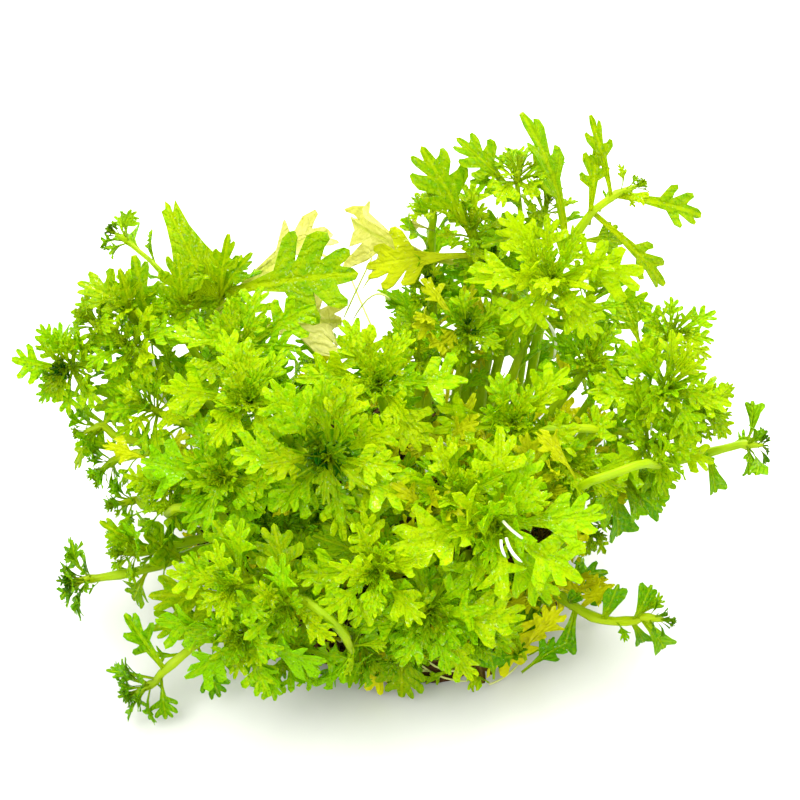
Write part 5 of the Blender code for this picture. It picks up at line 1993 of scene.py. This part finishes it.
def thread(shape, path, radius, slot, dip=0.0):
    """A thread through three seen points as one bend; a bare stem dips into the leaves at both ends."""
    first, middle, last = (seen(*point) for point in path)
    control = middle * 2 - (first + last) / 2
    centres = []
    for k in range(9):
        t = k / 8
        centres.append(first * (1 - t) ** 2 + control * 2 * t * (1 - t) + last * t * t)
        centres[-1].z -= dip * (2 * t - 1) ** 4
    radii = [radius] * 8 + [radius * 0.7] if dip else [radius] * 7 + [radius * 0.8, radius * 0.3]
    draw_tube(shape, centres, radii, 6, (0, 0.3, 0), slot)


def leafy_ends(shape, path, dice):
    """Small leaves round both ends of a bare stem."""
    first, middle, last = (seen(*point) for point in path)
    for end, ahead in ((first, first - middle), (last, last - middle)):
        ahead = ahead.normalized()
        for k in range(5):
            out = spoke(ahead, 72 * k + dice.uniform(-20, 20))
            base = end - Vector((0, 0, 0.6 * END_DIP))
            tip = base + (out + ahead * dice.uniform(-0.4, 0.4)).normalized() * dice.uniform(5, 8)
            lay_leaf(
                shape, WEDGE, base, tip, ahead + Vector((0, 0, 0.9)), dice.uniform(0.5, 0.7),
                (0.0, dice.uniform(0.2, 0.9), 0.0), 3, fold=dice.uniform(0.2, 0.7), ripple=0.25,
                twist=dice.uniform(-0.6, 0.6), phase=dice.uniform(0, 6),
            )


def make_fine_roots():
    """All the threads as one piece."""
    dice = random.Random(31)
    shape = new_shape()
    for path in WHITE_PATHS:
        thread(shape, path, WHITE_RADIUS, 0)
    for path in WIRY_PATHS:
        thread(shape, path, WIRY_RADIUS, 1)
    for path in STEM_PATHS:
        thread(shape, path, BARE_RADIUS, 2, END_DIP)
        leafy_ends(shape, path, dice)
    return finish_piece("fine_roots", shape, [WHITE_ROOT, WIRY_ROOT, STEM, GREEN], [])


fine_roots = make_fine_roots()
print("fine root faces:", len(fine_roots.data.polygons))

# %% [markdown]
# ## Floor
#
# The bunch lies on white, in light so soft and strong that the ground almost vanishes. A large pale plane
# catches the faint green shadow under the leaves. Leaving the floor out would be simpler, but then the
# bunch would float.

# %% The floor
FLOOR_SIZE = 6.0
FLOOR_COLOUR = (0.68, 0.68, 0.64, 1.0)


def make_floor():
    """A wide pale plane just under the bunch."""
    shape = bmesh.new()
    bmesh.ops.create_grid(shape, x_segments=1, y_segments=1, size=FLOOR_SIZE / 2)
    mesh = bpy.data.meshes.new("floor")
    shape.to_mesh(mesh)
    shape.free()
    material, _, shader = new_material("floor", (0.9, 0.9, 0.9), 0.6, 0.1)
    shader.inputs["Base Color"].default_value = FLOOR_COLOUR
    mesh.materials.append(material)
    floor = add_object("floor", mesh)
    return floor


floor = make_floor()
print("floor faces:", len(floor.data.polygons))

# %% [markdown]
# ## Light
#
# The light comes from everywhere, like in a white tent, so the shadows are pale and the leaves seem to
# glow. An even sky does most of it. A broad lamp behind and above shines through the leaves towards the
# camera, and a weaker one in front opens the shadows.

# %% The light
SKY_STRENGTH = 1.9
MIDDLE_OF_BUNCH = (0, 0, 0.03)


def add_lamp(name, place, aim, size, power):
    """A square lamp that shines at a point."""
    data = bpy.data.lights.new(name, "AREA")
    data.size = size
    data.energy = power
    lamp = add_object(name, data)
    lamp.location = place
    lamp.rotation_euler = (Vector(aim) - Vector(place)).to_track_quat("-Z", "Y").to_euler()
    return lamp


def make_sky(strength):
    """An even white sky."""
    world = bpy.data.worlds.new("studio")
    world.use_nodes = True
    world.node_tree.nodes["Background"].inputs["Color"].default_value = (1, 1, 1, 1)
    world.node_tree.nodes["Background"].inputs["Strength"].default_value = strength
    bpy.context.scene.world = world


make_sky(SKY_STRENGTH)
lamps = [
    add_lamp("key", (0.12, 0.40, 0.62), MIDDLE_OF_BUNCH, 0.4, 7.0),
    add_lamp("fill", (-0.35, -0.35, 0.70), MIDDLE_OF_BUNCH, 0.5, 4.0),
]
print("lamps:", [(lamp.name, lamp.data.energy) for lamp in lamps])

# %% [markdown]
# ## Camera
#
# The camera looks down at 42 degrees through a long lens, so that leaves in front and behind keep nearly
# the same size. It takes its place from the same values as the ruler of the view, which keeps the picture
# and the plant in step.

# %% The camera
LENS = 100.0
SENSOR_WIDTH = 36.0


def make_camera():
    """The camera of the photograph: a long lens from above."""
    data = bpy.data.cameras.new("camera")
    data.lens = LENS
    data.sensor_width = SENSOR_WIDTH
    data.clip_start = 0.01
    camera = add_object("camera", data)
    camera.location = (VIEW_TARGET - VIEW_FORWARD * VIEW_DISTANCE) * MM
    camera.rotation_euler = (math.pi / 2 - VIEW_ELEVATION, 0.0, 0.0)
    bpy.context.scene.camera = camera
    return camera


camera = make_camera()
bpy.context.scene.view_settings.view_transform = "Standard"
print("camera at", [round(value, 3) for value in camera.location])
